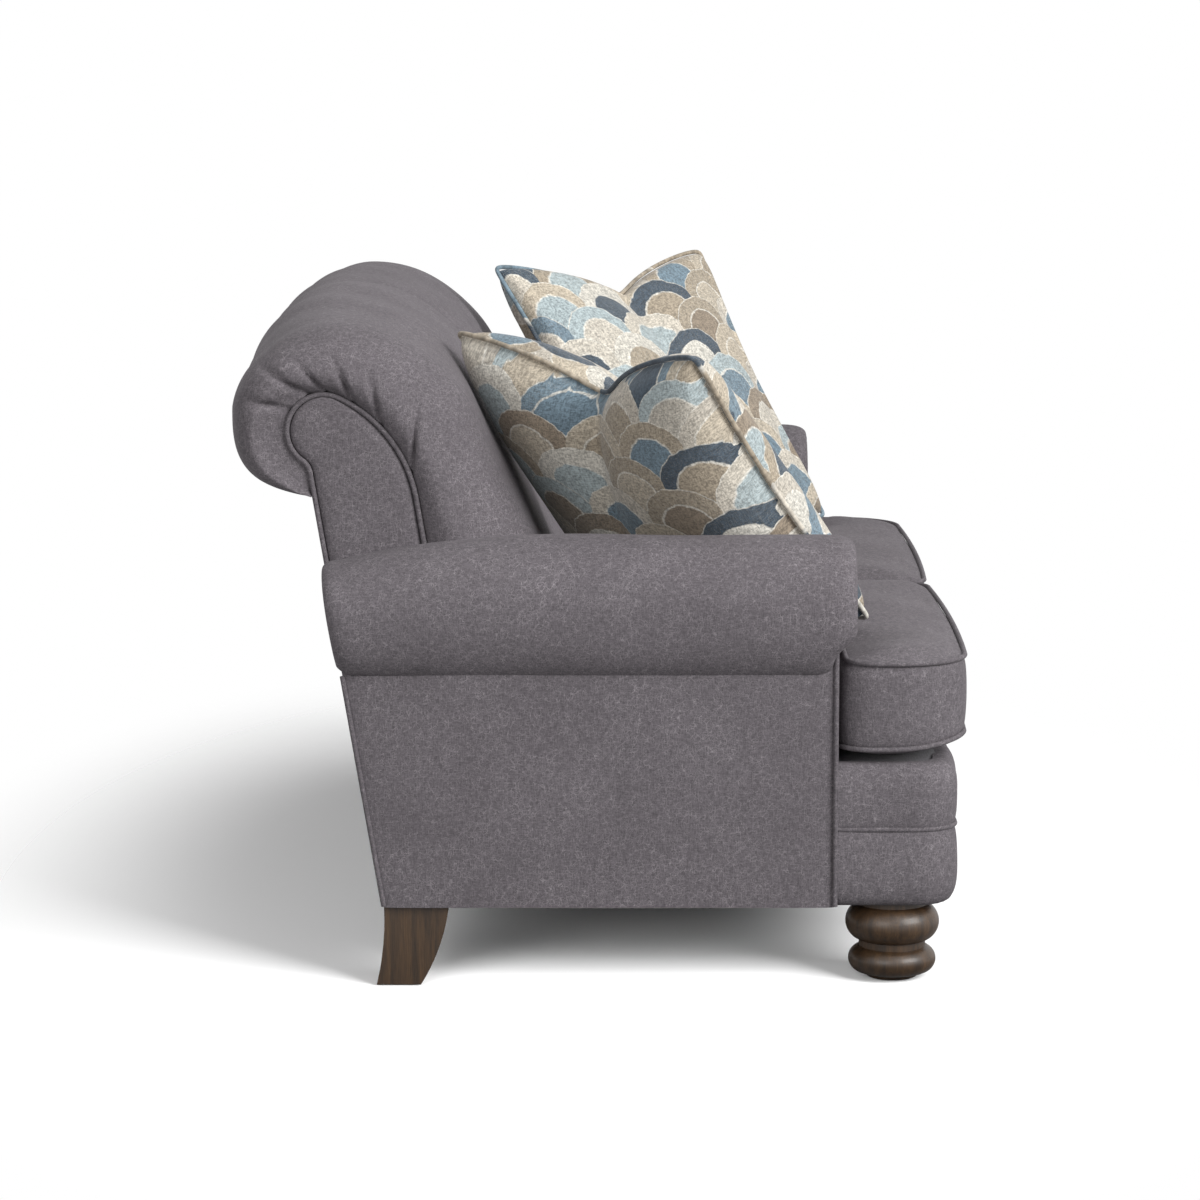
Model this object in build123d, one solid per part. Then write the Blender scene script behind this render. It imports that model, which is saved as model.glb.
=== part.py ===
from build123d import *
import math
import os

os.makedirs("parts", exist_ok=True)

# Loveseat with rolled arms. Millimetres. X runs across the seat, the front faces -Y, Z is up.
# The origin is on the floor at the middle of the whole outline. "right" is the +X side.

# Overall sizes
overall_width = 1650
overall_depth = 1046
overall_height = 945
base_height = 116
touch_gap = 0.3
sewn_gap = 0.5

# Arms
arm_height = 639
arm_width = 196
arm_overhang = 30
arm_setback = 160
arm_roll_bulge = 32
arm_tuck_height = 450
arm_pad_top = 60
arm_pad_inside = 50
arm_end_wall = 20
arm_scroll_radius = 60
panel_thickness = 6
scroll_board = 9
arm_board_thickness = 22
arm_post_depth = 100
rear_post_depth = 60
arm_side_tuck = 7
arm_side_drop = 14
arm_core_step = 10
arm_cap_length = 48

# Back
back_overhang = 217
back_rake = 9.6
roll_radius = 138
crest_radius = 227
inside_back_rake = 24
roll_tuck_drop = 255
head_radius = 48
head_drop = 23
head_setback = 2
shoulder_radius = 190
neck_radius = 30
post_depth = 136
rail_behind_pad = 12
back_rail_lift = 10
lower_rail_height = 60
upper_rail_drop = 96
upper_rail_height = 50
seat_rail_height = 70
back_end_inset = 125
back_seam_sink = 0.10
back_end_crest = 128
back_panel_drop = 6

# Seat
deck_height = 326
deck_thickness = 16
deck_clear = 2
cushion_thickness = 164
cushion_boxing = 122
cushion_crown = 26
cushion_gap = 6
cushion_cover = 4
cushion_clear = 3
ear_corner_radius = 58
welt_radius = 4

# Front border
border_setback = 10
border_pad = 30
border_top = 322
border_welt_height = 228
border_corner_radius = 62
border_groove = 9
border_groove_half = 5

# Wooden frame
board = 28
post_board = 20
rear_rail_height = 82
rear_rail_clear = 4
block_side = 92
block_height = 42

# Springs
wire_radius = 2
seat_springs_each_side = 4
back_springs_each_side = 3
spring_half_width = 28
spring_pitch = 32
clip_length = 16
clip_width = 14
clip_height = 9
spring_end_inset = 2
seat_spring_side_room = 40
back_spring_side_room = 60
back_clip_inset = 6

# Legs
glide_thickness = 2
glide_radius = 12
dust_cover_thickness = 1.5
foot_upper_radius = 67
foot_lower_radius = 62.5
foot_neck_radius = 47.5
foot_base_radius = 37.5
foot_side_inset = 105
foot_front_inset = 102
foot_rounding = 3
leg_thickness = 46
leg_side_inset = 45
leg_top_depth = 92
leg_rear_inset = 3
leg_front_sweep = 40
leg_rear_sweep = 11
leg_front_bow = 13
leg_rear_bow = 1.5
bolt_radius = 4
bolt_below = 34
insert_radius = 6
insert_length = 20
thread_clear = 0.1
bolt_clear = 0.5
bolt_end_room = 4

# Throw pillows
pillow_size = 510
pillow_bulge = 86
pillow_waist = 16
pillow_dent = 50
pillow_dent_share = 0.33
pillow_edge = 6
pillow_cover = 3
pillow_welt_radius = 4
pillow_corner_radius = 6
pillow_corner_ease = 1
pillow_welt_gap = 0.8
left_pillow_turn = 40
left_pillow_lean = 40.3
left_pillow_x = -493
left_pillow_forward = 130
right_pillow_turn = 41
right_pillow_lean = 32.5
right_pillow_x = 491
right_pillow_forward = 151

# Places worked out from the sizes above
half_width = overall_width / 2
front_y = -overall_depth / 2
rear_y = overall_depth / 2
panel_x = half_width - arm_overhang
arm_inner_x = half_width - arm_width
arm_roll_x = half_width - arm_width / 2
arm_roll_z = arm_height - arm_width / 2
arm_front_y = front_y + arm_setback
arm_face_y = arm_front_y + arm_roll_bulge
arm_hollow_x = arm_inner_x + arm_pad_inside
arm_hollow_top = arm_height - arm_pad_top
post_outer_x = panel_x - panel_thickness
border_front_y = front_y + border_setback
frame_front_y = border_front_y + border_pad
frame_side_x = panel_x - border_pad
rail_bottom = base_height + dust_cover_thickness
deck_bottom = deck_height - deck_thickness
rail_top = deck_bottom - touch_gap - clip_height
back_foot_y = rear_y - back_overhang
rake_tan = math.tan(math.radians(back_rake))
roll_y = rear_y - roll_radius
roll_z = overall_height - roll_radius
roll_tuck_height = overall_height - roll_tuck_drop
head_y = roll_y + head_setback
head_z = roll_z - head_drop
back_post_x = half_width - back_end_inset
seat_bottom = deck_height + touch_gap
seat_top = seat_bottom + cushion_thickness


def back_line(z):
    """Y of the outer face of the outside back at height z."""
    return back_foot_y + (z - base_height) * rake_tan


def back_inner(z):
    """Y of the inner face of the outside back at height z."""
    return back_line(z) - panel_thickness - touch_gap


def stem_front(z):
    """Y of the front edge of the back posts at height z."""
    return back_inner(z) - post_depth


def block(x_range, y_range, z_range):
    """A box between two corners."""
    size = [high - low for low, high in (x_range, y_range, z_range)]
    middle = [(high + low) / 2 for low, high in (x_range, y_range, z_range)]
    return Pos(*middle) * Box(*size)


def side_plane(x):
    """A plane across X whose drawing axes are Y and Z."""
    return Plane(origin=(x, 0, 0), x_dir=(0, 1, 0), z_dir=(1, 0, 0))


def front_plane(y):
    """A plane across Y whose drawing axes are X and Z."""
    return Plane(origin=(0, y, 0), x_dir=(1, 0, 0), z_dir=(0, -1, 0))


def side_prism(face, x_from, x_to):
    """A drawing in Y and Z carried from one X to another."""
    return extrude(side_plane(x_from) * face, x_to - x_from)


def front_prism(face, y_from, y_to):
    """A drawing in X and Z carried from one Y to another."""
    return extrude(front_plane(y_to) * face, y_to - y_from)


def polygon(*points):
    """A flat face with straight sides."""
    return make_face(Polyline(*points, close=True).edges())


def arc_about(centre, radius, start, end):
    """An arc about a centre between two angles in degrees."""
    angles = [math.radians(a) for a in (start, (start + end) / 2, end)]
    points = [(centre[0] + radius * math.cos(a), centre[1] + radius * math.sin(a)) for a in angles]
    return ThreePointArc(*points)


def tube(path, radius):
    """A round cord along a path."""
    wire = path if isinstance(path, Wire) else Wire(path.edges())
    start = Plane(origin=wire @ 0, z_dir=wire % 0)
    return sweep(start * Circle(radius), path=wire)


def rod(start, end, radius):
    """A straight round bar between two points."""
    direction = Vector(*end) - Vector(*start)
    return extrude(Plane(origin=start, z_dir=direction) * Circle(radius), direction.length)


def save(name, *solids):
    """Write one node, from one solid or a group of separate solids."""
    flat = [s for piece in solids for s in piece.solids()]
    export_step(flat[0] if len(flat) == 1 else Compound(children=flat), f"parts/{name}.step")


def save_pair(name, right_piece):
    """Write the right-hand node and its mirror image."""
    save(f"right_{name}", right_piece)
    save(f"left_{name}", mirror(right_piece, about=Plane.YZ))


# Scroll outline shared by the back posts, the end panels and the hollow of the back pads.
# A round head, a neck behind it, a long shoulder in front, and a straight raked stem.
rake = math.radians(back_rake)
along = (math.sin(rake), math.cos(rake))
backward = (math.cos(rake), -math.sin(rake))
stem_foot = (back_inner(base_height), base_height)
stem_width = post_depth * math.cos(rake)
head_offset = (head_y - stem_foot[0], head_z - stem_foot[1])
head_along = head_offset[0] * along[0] + head_offset[1] * along[1]
head_behind = head_offset[0] * backward[0] + head_offset[1] * backward[1]
neck_reach = head_radius + neck_radius
neck_along = head_along - math.sqrt(neck_reach ** 2 - (neck_radius - head_behind) ** 2)
shoulder_behind = shoulder_radius - stem_width
shoulder_reach = shoulder_radius - head_radius
shoulder_along = head_along - math.sqrt(shoulder_reach ** 2 - (shoulder_behind - head_behind) ** 2)


def stem_point(distance_up, distance_behind):
    """A point given along the raked stem and behind its rear edge, as (Y, Z)."""
    y = stem_foot[0] + distance_up * along[0] + distance_behind * backward[0]
    z = stem_foot[1] + distance_up * along[1] + distance_behind * backward[1]
    return (y, z)


def at_height(z, behind):
    """The point of a line along the stem, a distance behind its rear edge, at height z."""
    up = (z - stem_foot[1] - behind * backward[1]) / along[1]
    return stem_point(up, behind)


def scroll_path(grow, low):
    """The scroll's outline from its low rear end round the head to its low front end."""
    neck = stem_point(neck_along, neck_radius)
    shoulder = stem_point(shoulder_along, shoulder_behind)
    head = (head_y, head_z)
    to_head = math.degrees(math.atan2(head[1] - neck[1], head[0] - neck[0]))
    to_shoulder = math.degrees(math.atan2(head[1] - shoulder[1], head[0] - shoulder[0]))
    neck_arc = arc_about(neck, neck_radius - grow, 180 - back_rake, to_head)
    head_arc = arc_about(head, head_radius + grow, to_head - 180, to_shoulder)
    shoulder_arc = arc_about(shoulder, shoulder_radius + grow, to_shoulder, 180 - back_rake)
    rear = Line(at_height(low, grow), neck_arc @ 0)
    front = Line(shoulder_arc @ 1, at_height(low, -stem_width - grow))
    return [rear, neck_arc, head_arc, shoulder_arc, front]


def scroll_face(grow, low):
    """The closed scroll outline, larger all round by grow."""
    edges = scroll_path(grow, low)
    return make_face(edges + [Line(edges[-1] @ 1, edges[0] @ 0)])


# Hardwood base: front, side, rear and centre rails, and the corner blocks that take the feet.
side_rail_x = (frame_side_x - board, frame_side_x)
front_rail_y = (frame_front_y, frame_front_y + board)
rear_rail_back = back_inner(rail_bottom) - rear_rail_clear
rear_rail_y = (rear_rail_back - board, rear_rail_back)
rail_z = (rail_bottom, rail_top)
rear_rail_top = rail_bottom + rear_rail_height
foot_x = half_width - foot_side_inset
foot_y = front_y + foot_front_inset
leg_bolt_x = (side_rail_x[0] + side_rail_x[1]) / 2
leg_rear_y = back_foot_y - leg_rear_inset
leg_top_y = (leg_rear_y - leg_top_depth, leg_rear_y)
leg_bolt_y = (leg_top_y[0] + leg_top_y[1]) / 2
leg_places = [(foot_x, foot_y), (leg_bolt_x, leg_bolt_y)]
bolt_places = [(s * x, y) for x, y in leg_places for s in (1, -1)]
insert_top = rail_bottom + insert_length


def insert_holes():
    """Bores for the threaded inserts and the bolts' ends above them."""
    bores = []
    for x, y in bolt_places:
        bores.append(rod((x, y, base_height), (x, y, insert_top), insert_radius + thread_clear))
        bores.append(rod((x, y, rail_bottom), (x, y, insert_top + bolt_end_room), bolt_radius + bolt_clear))
    return bores


bores = insert_holes()
save("front_rail", block((-frame_side_x, frame_side_x), front_rail_y, rail_z))
save("rear_rail", block((-frame_side_x, frame_side_x), rear_rail_y, (rail_bottom, rear_rail_top)))
side_rail = block(side_rail_x, (front_rail_y[1], rear_rail_y[0]), rail_z) - bores
save_pair("side_rail", side_rail)
between_rails = (front_rail_y[1], rear_rail_y[0])
save("center_rail", block((-board / 2, board / 2), between_rails, (rail_bottom, rear_rail_top)))

corner_blocks = []
for inner_y, step in ((front_rail_y[1], 1), (rear_rail_y[0], -1)):
    inner_x = side_rail_x[0]
    far_y = inner_y + step * block_side
    triangle = polygon((inner_x, inner_y), (inner_x - block_side, inner_y), (inner_x, far_y))
    corner = extrude(Pos(0, 0, rail_bottom) * triangle, block_height, dir=(0, 0, 1)) - bores
    corner_blocks += [corner, mirror(corner, about=Plane.YZ)]
save("corner_blocks", *corner_blocks)

# Arm frames: a plate post in front, a raked one behind, and a board along the top of the roll.
arm_post_top = arm_hollow_top - arm_board_thickness
arm_post_x = (frame_side_x, post_outer_x)
arm_board_x = (back_post_x + 2 * sewn_gap, post_outer_x)
front_arm_post = block(arm_post_x, (arm_face_y, arm_face_y + arm_post_depth), (rail_bottom, arm_post_top))


def rear_post_y(z, from_wall):
    """Y of a rear arm post's edge, measured forward from the padded end wall."""
    return back_inner(z) - arm_end_wall - sewn_gap - from_wall


rear_post_face = polygon(
    (rear_post_y(rail_bottom, rear_post_depth), rail_bottom),
    (rear_post_y(rail_bottom, 0), rail_bottom),
    (rear_post_y(arm_post_top, 0), arm_post_top),
    (rear_post_y(arm_post_top, rear_post_depth), arm_post_top),
)
rear_arm_post = side_prism(rear_post_face, *arm_post_x)
for name, side in (("right", 1), ("left", -1)):
    posts = [front_arm_post, rear_arm_post]
    save(f"{name}_arm_posts", *[p if side > 0 else mirror(p, about=Plane.YZ) for p in posts])
arm_board = block(arm_board_x, (arm_face_y, rear_post_y(arm_post_top, 0)), (arm_post_top, arm_hollow_top))
save_pair("arm_board", arm_board)

# Back frame: two scroll posts on the rear rail, a centre post, a round top rail and three raked rails.
back_post = side_prism(scroll_face(0, rear_rail_top), back_post_x - post_board, back_post_x)
save_pair("back_post", back_post)
inner_post_x = back_post_x - post_board
rail_front = -stem_width + rail_behind_pad


def raked_rail(low, high):
    """A board between the back posts, its faces along the stem and its edges level."""
    outline = [at_height(low, rail_front), at_height(low, rail_front + board)]
    outline += [at_height(high, rail_front + board), at_height(high, rail_front)]
    return side_prism(polygon(*outline), -inner_post_x, inner_post_x)


lower_rail_low = deck_height + back_rail_lift
lower_rail_z = (lower_rail_low, lower_rail_low + lower_rail_height)
upper_rail_top = head_z - upper_rail_drop
upper_rail_z = (upper_rail_top - upper_rail_height, upper_rail_top)
seat_back_rail = raked_rail(rail_top - seat_rail_height, rail_top)
save("seat_back_rail", seat_back_rail)
lower_back_rail = raked_rail(*lower_rail_z)
save("lower_back_rail", lower_back_rail)
upper_back_rail = raked_rail(*upper_rail_z)
save("upper_back_rail", upper_back_rail)
top_rail = rod((-inner_post_x, head_y, head_z), (inner_post_x, head_y, head_z), head_radius)
save("back_top_rail", top_rail)
center_post = side_prism(scroll_face(0, rail_top), -post_board / 2, post_board / 2)
center_post = center_post - [top_rail, lower_back_rail, upper_back_rail]
save("center_back_post", center_post.solids().sort_by(SortBy.VOLUME)[-1])

# Sinuous springs: a square wave of wire with rounded turns, clipped to the rails at both ends.
clip_bore = wire_radius + touch_gap
turn_radius = spring_pitch / 3
seat_wire_z = rail_top + clip_height / 2


def spring_points(length):
    """Corners of one spring along local X, from end to end, with straight ends on the axis."""
    lead = 1.5 * clip_length + turn_radius
    turns = 2 * int((length - 2 * lead) / spring_pitch / 2)
    pitch = (length - 2 * lead) / turns
    points = [(0, 0), (lead, 0)]
    side = 1
    for i in range(turns):
        points.append((lead + i * pitch, side * spring_half_width))
        points.append((lead + (i + 1) * pitch, side * spring_half_width))
        side = -side
    points += [(length - lead, 0), (length, 0)]
    return points


def spring(plane, length):
    """One spring lying in a plane, along its X axis."""
    points = [plane.from_local_coords((a, b, 0)) for a, b in spring_points(length)]
    return tube(FilletPolyline(*points, radius=turn_radius), wire_radius)


def clip(plane, place):
    """One clip round a spring's straight end, on the face of its rail."""
    body = Pos(place, 0, 0) * Box(clip_length, clip_width, clip_height)
    hole = Pos(place, 0, 0) * Rot(0, 90, 0) * Cylinder(clip_bore, clip_length + 2)
    return plane * (body - hole)


def rows(count, step):
    """Places across the seat for springs, the same on both sides of the middle."""
    return [side * (board + (i + 0.5) * step) for i in range(count) for side in (1, -1)]


seat_back_end = at_height(rail_top, rail_front + board)[0]
seat_ends = (front_rail_y[0] + spring_end_inset, seat_back_end - spring_end_inset)
seat_length = seat_ends[1] - seat_ends[0]
seat_step = (arm_inner_x - seat_spring_side_room) / seat_springs_each_side
seat_places = rows(seat_springs_each_side, seat_step)
seat_origins = [(x, seat_ends[0], seat_wire_z) for x in seat_places]
seat_planes = [Plane(origin=o, x_dir=(0, 1, 0), z_dir=(0, 0, 1)) for o in seat_origins]
save("seat_springs", *[spring(p, seat_length) for p in seat_planes])
seat_clips = [clip(p, c) for p in seat_planes for c in (clip_length, seat_length - clip_length)]
tie_z = seat_wire_z - 2 * wire_radius - touch_gap
tie_reach = board + seat_springs_each_side * seat_step
tie_places = [seat_ends[0] + seat_length * share for share in (0.35, 0.65)]
ties = [rod((-tie_reach, y, tie_z), (tie_reach, y, tie_z), wire_radius) for y in tie_places]
save("seat_spring_ties", *ties)

wire_behind = rail_front - clip_height / 2
back_low = at_height(lower_rail_z[0] + back_clip_inset, wire_behind)
back_high = at_height(upper_rail_z[1] - back_clip_inset, wire_behind)
back_length = math.dist(back_low, back_high)
back_step = (arm_inner_x - back_spring_side_room) / back_springs_each_side
back_places = rows(back_springs_each_side, back_step)
up_stem = (0, along[0], along[1])
forward = (0, -backward[0], -backward[1])
back_planes = [Plane(origin=(x, *back_low), x_dir=up_stem, z_dir=forward) for x in back_places]
save("back_springs", *[spring(p, back_length) for p in back_planes])
back_clips = [clip(p, c) for p in back_planes for c in (clip_length, back_length - clip_length)]
save("spring_clips", *seat_clips, *back_clips)

# Deck pad on the spring clips, and the dust cover under the rails.
deck_front_x = frame_side_x - deck_clear
deck_rear_x = arm_inner_x - deck_clear
deck_step_y = arm_front_y - deck_clear
deck_y = (frame_front_y + deck_clear, stem_front(deck_bottom) - deck_clear)
deck_face = polygon(
    (-deck_front_x, deck_y[0]), (deck_front_x, deck_y[0]), (deck_front_x, deck_step_y),
    (deck_rear_x, deck_step_y), (deck_rear_x, deck_y[1]), (-deck_rear_x, deck_y[1]),
    (-deck_rear_x, deck_step_y), (-deck_front_x, deck_step_y),
)
save("deck_pad", extrude(Pos(0, 0, deck_bottom) * deck_face, deck_thickness, dir=(0, 0, 1)))
dust_cover_y = (front_rail_y[0], rear_rail_y[1])
dust_cover = block((-frame_side_x, frame_side_x), dust_cover_y, (base_height, rail_bottom))
for x, y in bolt_places:
    dust_cover = dust_cover - rod((x, y, 0), (x, y, rail_top), bolt_radius + 2 * bolt_clear)
save("dust_cover", dust_cover)

# Turned bun feet in front and sawn swept-back legs behind, with their bolts, inserts and glides.
leg_height = base_height - glide_thickness
foot_shares = (0.08, 0.39, 0.47, 0.93)
base_z, lower_z, neck_z, upper_z = [glide_thickness + leg_height * s for s in foot_shares]
collar_radius = foot_neck_radius + foot_rounding
foot_rim_radius = foot_base_radius - foot_rounding
foot_edges = [
    Line((0, glide_thickness), (foot_rim_radius, glide_thickness)),
    ThreePointArc((foot_rim_radius, glide_thickness),
                  (foot_base_radius, (glide_thickness + base_z) / 2),
                  (foot_rim_radius, base_z)),
    ThreePointArc((foot_rim_radius, base_z),
                  (foot_lower_radius, (base_z + lower_z) / 2),
                  (foot_neck_radius, lower_z)),
    Line((foot_neck_radius, lower_z), (foot_neck_radius, neck_z)),
    ThreePointArc((foot_neck_radius, neck_z),
                  (foot_upper_radius, (neck_z + upper_z) / 2),
                  (collar_radius, upper_z)),
    Line((collar_radius, upper_z), (collar_radius, base_height)),
    Line((collar_radius, base_height), (0, base_height)),
    Line((0, base_height), (0, glide_thickness)),
]
bolt_hole_low = base_height - bolt_below
bolt_hole_radius = bolt_radius + thread_clear
bolt_holes = [rod((x, y, bolt_hole_low), (x, y, rail_bottom), bolt_hole_radius) for x, y in bolt_places]
bun_foot = Pos(foot_x, foot_y, 0) * revolve(Plane.XZ * make_face(foot_edges), axis=Axis.Z)
save_pair("bun_foot", bun_foot - bolt_holes)
leg_x = (half_width - leg_side_inset - leg_thickness, half_width - leg_side_inset)
leg_mid_z = (base_height + glide_thickness) / 2
leg_bottom_y = (leg_top_y[0] + leg_front_sweep, leg_top_y[1] + leg_rear_sweep)
leg_front_mid = (leg_top_y[0] + leg_front_bow, leg_mid_z)
leg_rear_mid = (leg_top_y[1] + leg_rear_bow, leg_mid_z)
leg_edges = [
    Line((leg_top_y[0], base_height), (leg_top_y[1], base_height)),
    ThreePointArc((leg_top_y[1], base_height), leg_rear_mid, (leg_bottom_y[1], glide_thickness)),
    Line((leg_bottom_y[1], glide_thickness), (leg_bottom_y[0], glide_thickness)),
    ThreePointArc((leg_bottom_y[0], glide_thickness), leg_front_mid, (leg_top_y[0], base_height)),
]
save_pair("rear_leg", side_prism(make_face(leg_edges), *leg_x) - bolt_holes)

bolts = []
inserts = []
for x, y in bolt_places:
    bolt_z = (bolt_hole_low + bolt_clear, insert_top + bolt_end_room / 2)
    bolts.append(rod((x, y, bolt_z[0]), (x, y, bolt_z[1]), bolt_radius))
    sleeve = rod((x, y, rail_bottom), (x, y, insert_top), insert_radius)
    inserts.append(sleeve - rod((x, y, 0), (x, y, rail_top), bolt_radius + thread_clear))
save("leg_bolts", *bolts)
save("leg_inserts", *inserts)
leg_glide = ((leg_x[0] + leg_x[1]) / 2, (leg_bottom_y[0] + leg_bottom_y[1]) / 2)
glides = []
for x, y in ((foot_x, foot_y), leg_glide):
    glide = rod((x, y, 0), (x, y, glide_thickness), glide_radius)
    glides += [glide, mirror(glide, about=Plane.YZ)]
save("leg_glides", *glides)

# Front border: two padded bands round the front rail, drawn in to the welt between them.
border_rear_y = arm_face_y - scroll_board
lower_middle = (base_height + border_welt_height) / 2
upper_middle = (border_welt_height + border_top) / 2
border_levels = [
    (base_height, 22),
    (base_height + 16, 8),
    (lower_middle, 0),
    (border_welt_height - 3 * border_groove_half, 3),
    (border_welt_height - border_groove_half, border_groove),
    (border_welt_height + border_groove_half, border_groove),
    (border_welt_height + 3 * border_groove_half, 3),
    (upper_middle, 0),
    (border_top - 14, 6),
    (border_top, 20),
]


def border_path(inset):
    """Plan of the border's outer face from one arm front round to the other."""
    side = panel_x - inset
    front = border_front_y + inset
    points = [(side, border_rear_y), (side, front), (-side, front), (-side, border_rear_y)]
    return FilletPolyline(*points, radius=border_corner_radius - inset)


def border_section(z, inset):
    """The border's whole plan at one height."""
    path = border_path(inset)
    return Pos(0, 0, z) * make_face(path.edges() + [Line(path @ 1, path @ 0)])


border = loft([border_section(z, inset) for z, inset in border_levels], ruled=True)
border_room_x = frame_side_x + touch_gap
border_room_y = (frame_front_y - touch_gap, rear_y)
border = border - block((-border_room_x, border_room_x), border_room_y, (0, overall_height))
save("front_border", border)
border_welt_path = Pos(0, 0, border_welt_height) * border_path(border_groove - welt_radius - touch_gap)
save("front_border_welt", tube(border_welt_path, welt_radius))

# Arms: roll and inside arm in one padded piece over the arm frame, rounded in to the scroll front.
welt_room = 2 * (welt_radius + touch_gap) + touch_gap


def arm_section(shrink, grow):
    """The arm's outline in X and Z, drawn in towards the middle of the roll by a share."""
    scale = 1 - shrink
    radius = arm_width / 2 * scale + grow
    centre = (arm_roll_x, arm_roll_z)
    tuck_x = arm_roll_x + (panel_x - arm_roll_x) * scale + grow
    tuck = (tuck_x, arm_roll_z - (arm_roll_z - arm_tuck_height) * scale)
    side_x = arm_roll_x + (half_width - arm_side_tuck - arm_roll_x) * scale + grow
    side_z = (arm_roll_z + tuck[1]) / 2 - arm_side_drop * scale
    inner_x = arm_roll_x - radius
    middle_x = arm_roll_x + arm_core_step
    edges = [
        Line((inner_x, deck_bottom), (inner_x, arm_roll_z)),
        arc_about(centre, radius, 180, 90),
        arc_about(centre, radius, 90, 0),
        ThreePointArc((arm_roll_x + radius, arm_roll_z), (side_x, side_z), tuck),
        Line(tuck, (middle_x, tuck[1])),
        Line((middle_x, tuck[1]), (middle_x, deck_bottom)),
        Line((middle_x, deck_bottom), (inner_x, deck_bottom)),
    ]
    return make_face(edges)


def arch_path(grow, outer_low, inner_low):
    """Outline of the arm's front panel: straight sides and a round top."""
    radius = arm_scroll_radius + grow
    outer_x = arm_roll_x + radius
    inner_x = arm_roll_x - radius
    top = [arc_about((arm_roll_x, arm_roll_z), radius, a, a + 90) for a in (0, 90)]
    outer = Line((outer_x, outer_low), (outer_x, arm_roll_z))
    inner = Line((inner_x, arm_roll_z), (inner_x, inner_low))
    return [outer, *top, inner]


def arch_face(grow, low):
    """The front panel's outline closed along its lower edge."""
    edges = arch_path(grow, low, low)
    return make_face(edges + [Line(edges[-1] @ 1, edges[0] @ 0)])


arm_straight_y = arm_front_y + arm_cap_length
arm_caps = [(0, 0.45), (0.15, 0.20), (0.42, 0.06), (1, 0)]
arm_sections = []
for share, shrink in arm_caps:
    arm_sections.append(front_plane(arm_front_y + share * arm_cap_length) * arm_section(shrink, 0))
arm_cap = loft(arm_sections, ruled=True)
arm_pad = arm_cap + front_prism(arm_section(0, 0), arm_straight_y, rear_y)
arm_room_x = (arm_hollow_x - sewn_gap, post_outer_x + sewn_gap)
hollow_face = polygon(
    (arm_face_y - sewn_gap, 0),
    (rear_post_y(0, -sewn_gap), 0),
    (rear_post_y(arm_hollow_top, -sewn_gap), arm_hollow_top + sewn_gap),
    (arm_face_y - sewn_gap, arm_hollow_top + sewn_gap),
)
behind_back = polygon(
    (back_inner(0), 0),
    (back_inner(overall_height), overall_height),
    (overall_depth, overall_height),
    (overall_depth, 0),
)
arm_pad = arm_pad - side_prism(hollow_face, *arm_room_x)
arm_pad = arm_pad - front_prism(arch_face(welt_room, 0), front_y, arm_face_y)
arm_pad = arm_pad - side_prism(behind_back, 0, overall_width)
back_frame_room = side_prism(scroll_face(sewn_gap, 0), 0, back_post_x + sewn_gap)
save_pair("arm_pad", arm_pad - back_frame_room)

outer_panel_top = arm_tuck_height - touch_gap
panel_rear = 2 * welt_radius + 1
outer_panel_face = polygon(
    (arm_face_y, base_height),
    (back_line(base_height) - panel_rear, base_height),
    (back_line(outer_panel_top) - panel_rear, outer_panel_top),
    (arm_face_y, outer_panel_top),
)
save_pair("outer_arm_panel", side_prism(outer_panel_face, post_outer_x, panel_x))
arm_welt_y = arm_face_y - scroll_board / 2
save_pair("arm_front_panel", front_prism(arch_face(0, border_top + 2), border_rear_y, arm_face_y))
arm_welt_edges = arch_path(welt_radius + touch_gap, base_height + 2, deck_height + 2)
save_pair("arm_front_welt", tube(front_plane(arm_welt_y) * Wire(arm_welt_edges), welt_radius))

# Back: two padded halves hooked over the back frame, sunk at the middle seam and drawn in to the ends.
pad_bottom = deck_height + touch_gap
end_radius = head_radius + welt_room + head_setback


def between(start, end, share):
    """A value part of the way from start to end."""
    return start + (end - start) * share


def back_section(sink):
    """Outline of the back pad in Y and Z, drawn in towards the scroll end by a share."""
    centre = (between(roll_y, head_y, sink), between(roll_z, head_z, sink))
    radius = between(roll_radius, end_radius, sink)
    crest = between(crest_radius, back_end_crest, sink)
    lean = between(inside_back_rake, back_rake, sink)
    crest_centre = (centre[0], centre[1] + radius - crest)
    roll_low = arc_about(centre, radius, -66, 12)
    roll_high = arc_about(centre, radius, 12, 90)
    crest_arc = arc_about(crest_centre, crest, 90, 180 - lean)
    front_end = crest_arc @ 1
    seat_y = front_end.X - math.tan(math.radians(lean)) * (front_end.Y - seat_top)
    tuck = (back_inner(roll_tuck_height), roll_tuck_height)
    inside_high = (between(stem_front(roll_tuck_height), tuck[0], 0.6), roll_tuck_height - 40)
    inside_low = (between(stem_front(pad_bottom), back_inner(pad_bottom), 0.4), pad_bottom)
    edges = [
        Line(tuck, roll_low @ 0),
        roll_low,
        roll_high,
        crest_arc,
        Line(front_end, (seat_y, seat_top)),
        Line((seat_y, seat_top), (seat_y, pad_bottom)),
        Line((seat_y, pad_bottom), inside_low),
        Line(inside_low, inside_high),
        Line(inside_high, tuck),
    ]
    return make_face(edges)


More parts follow.
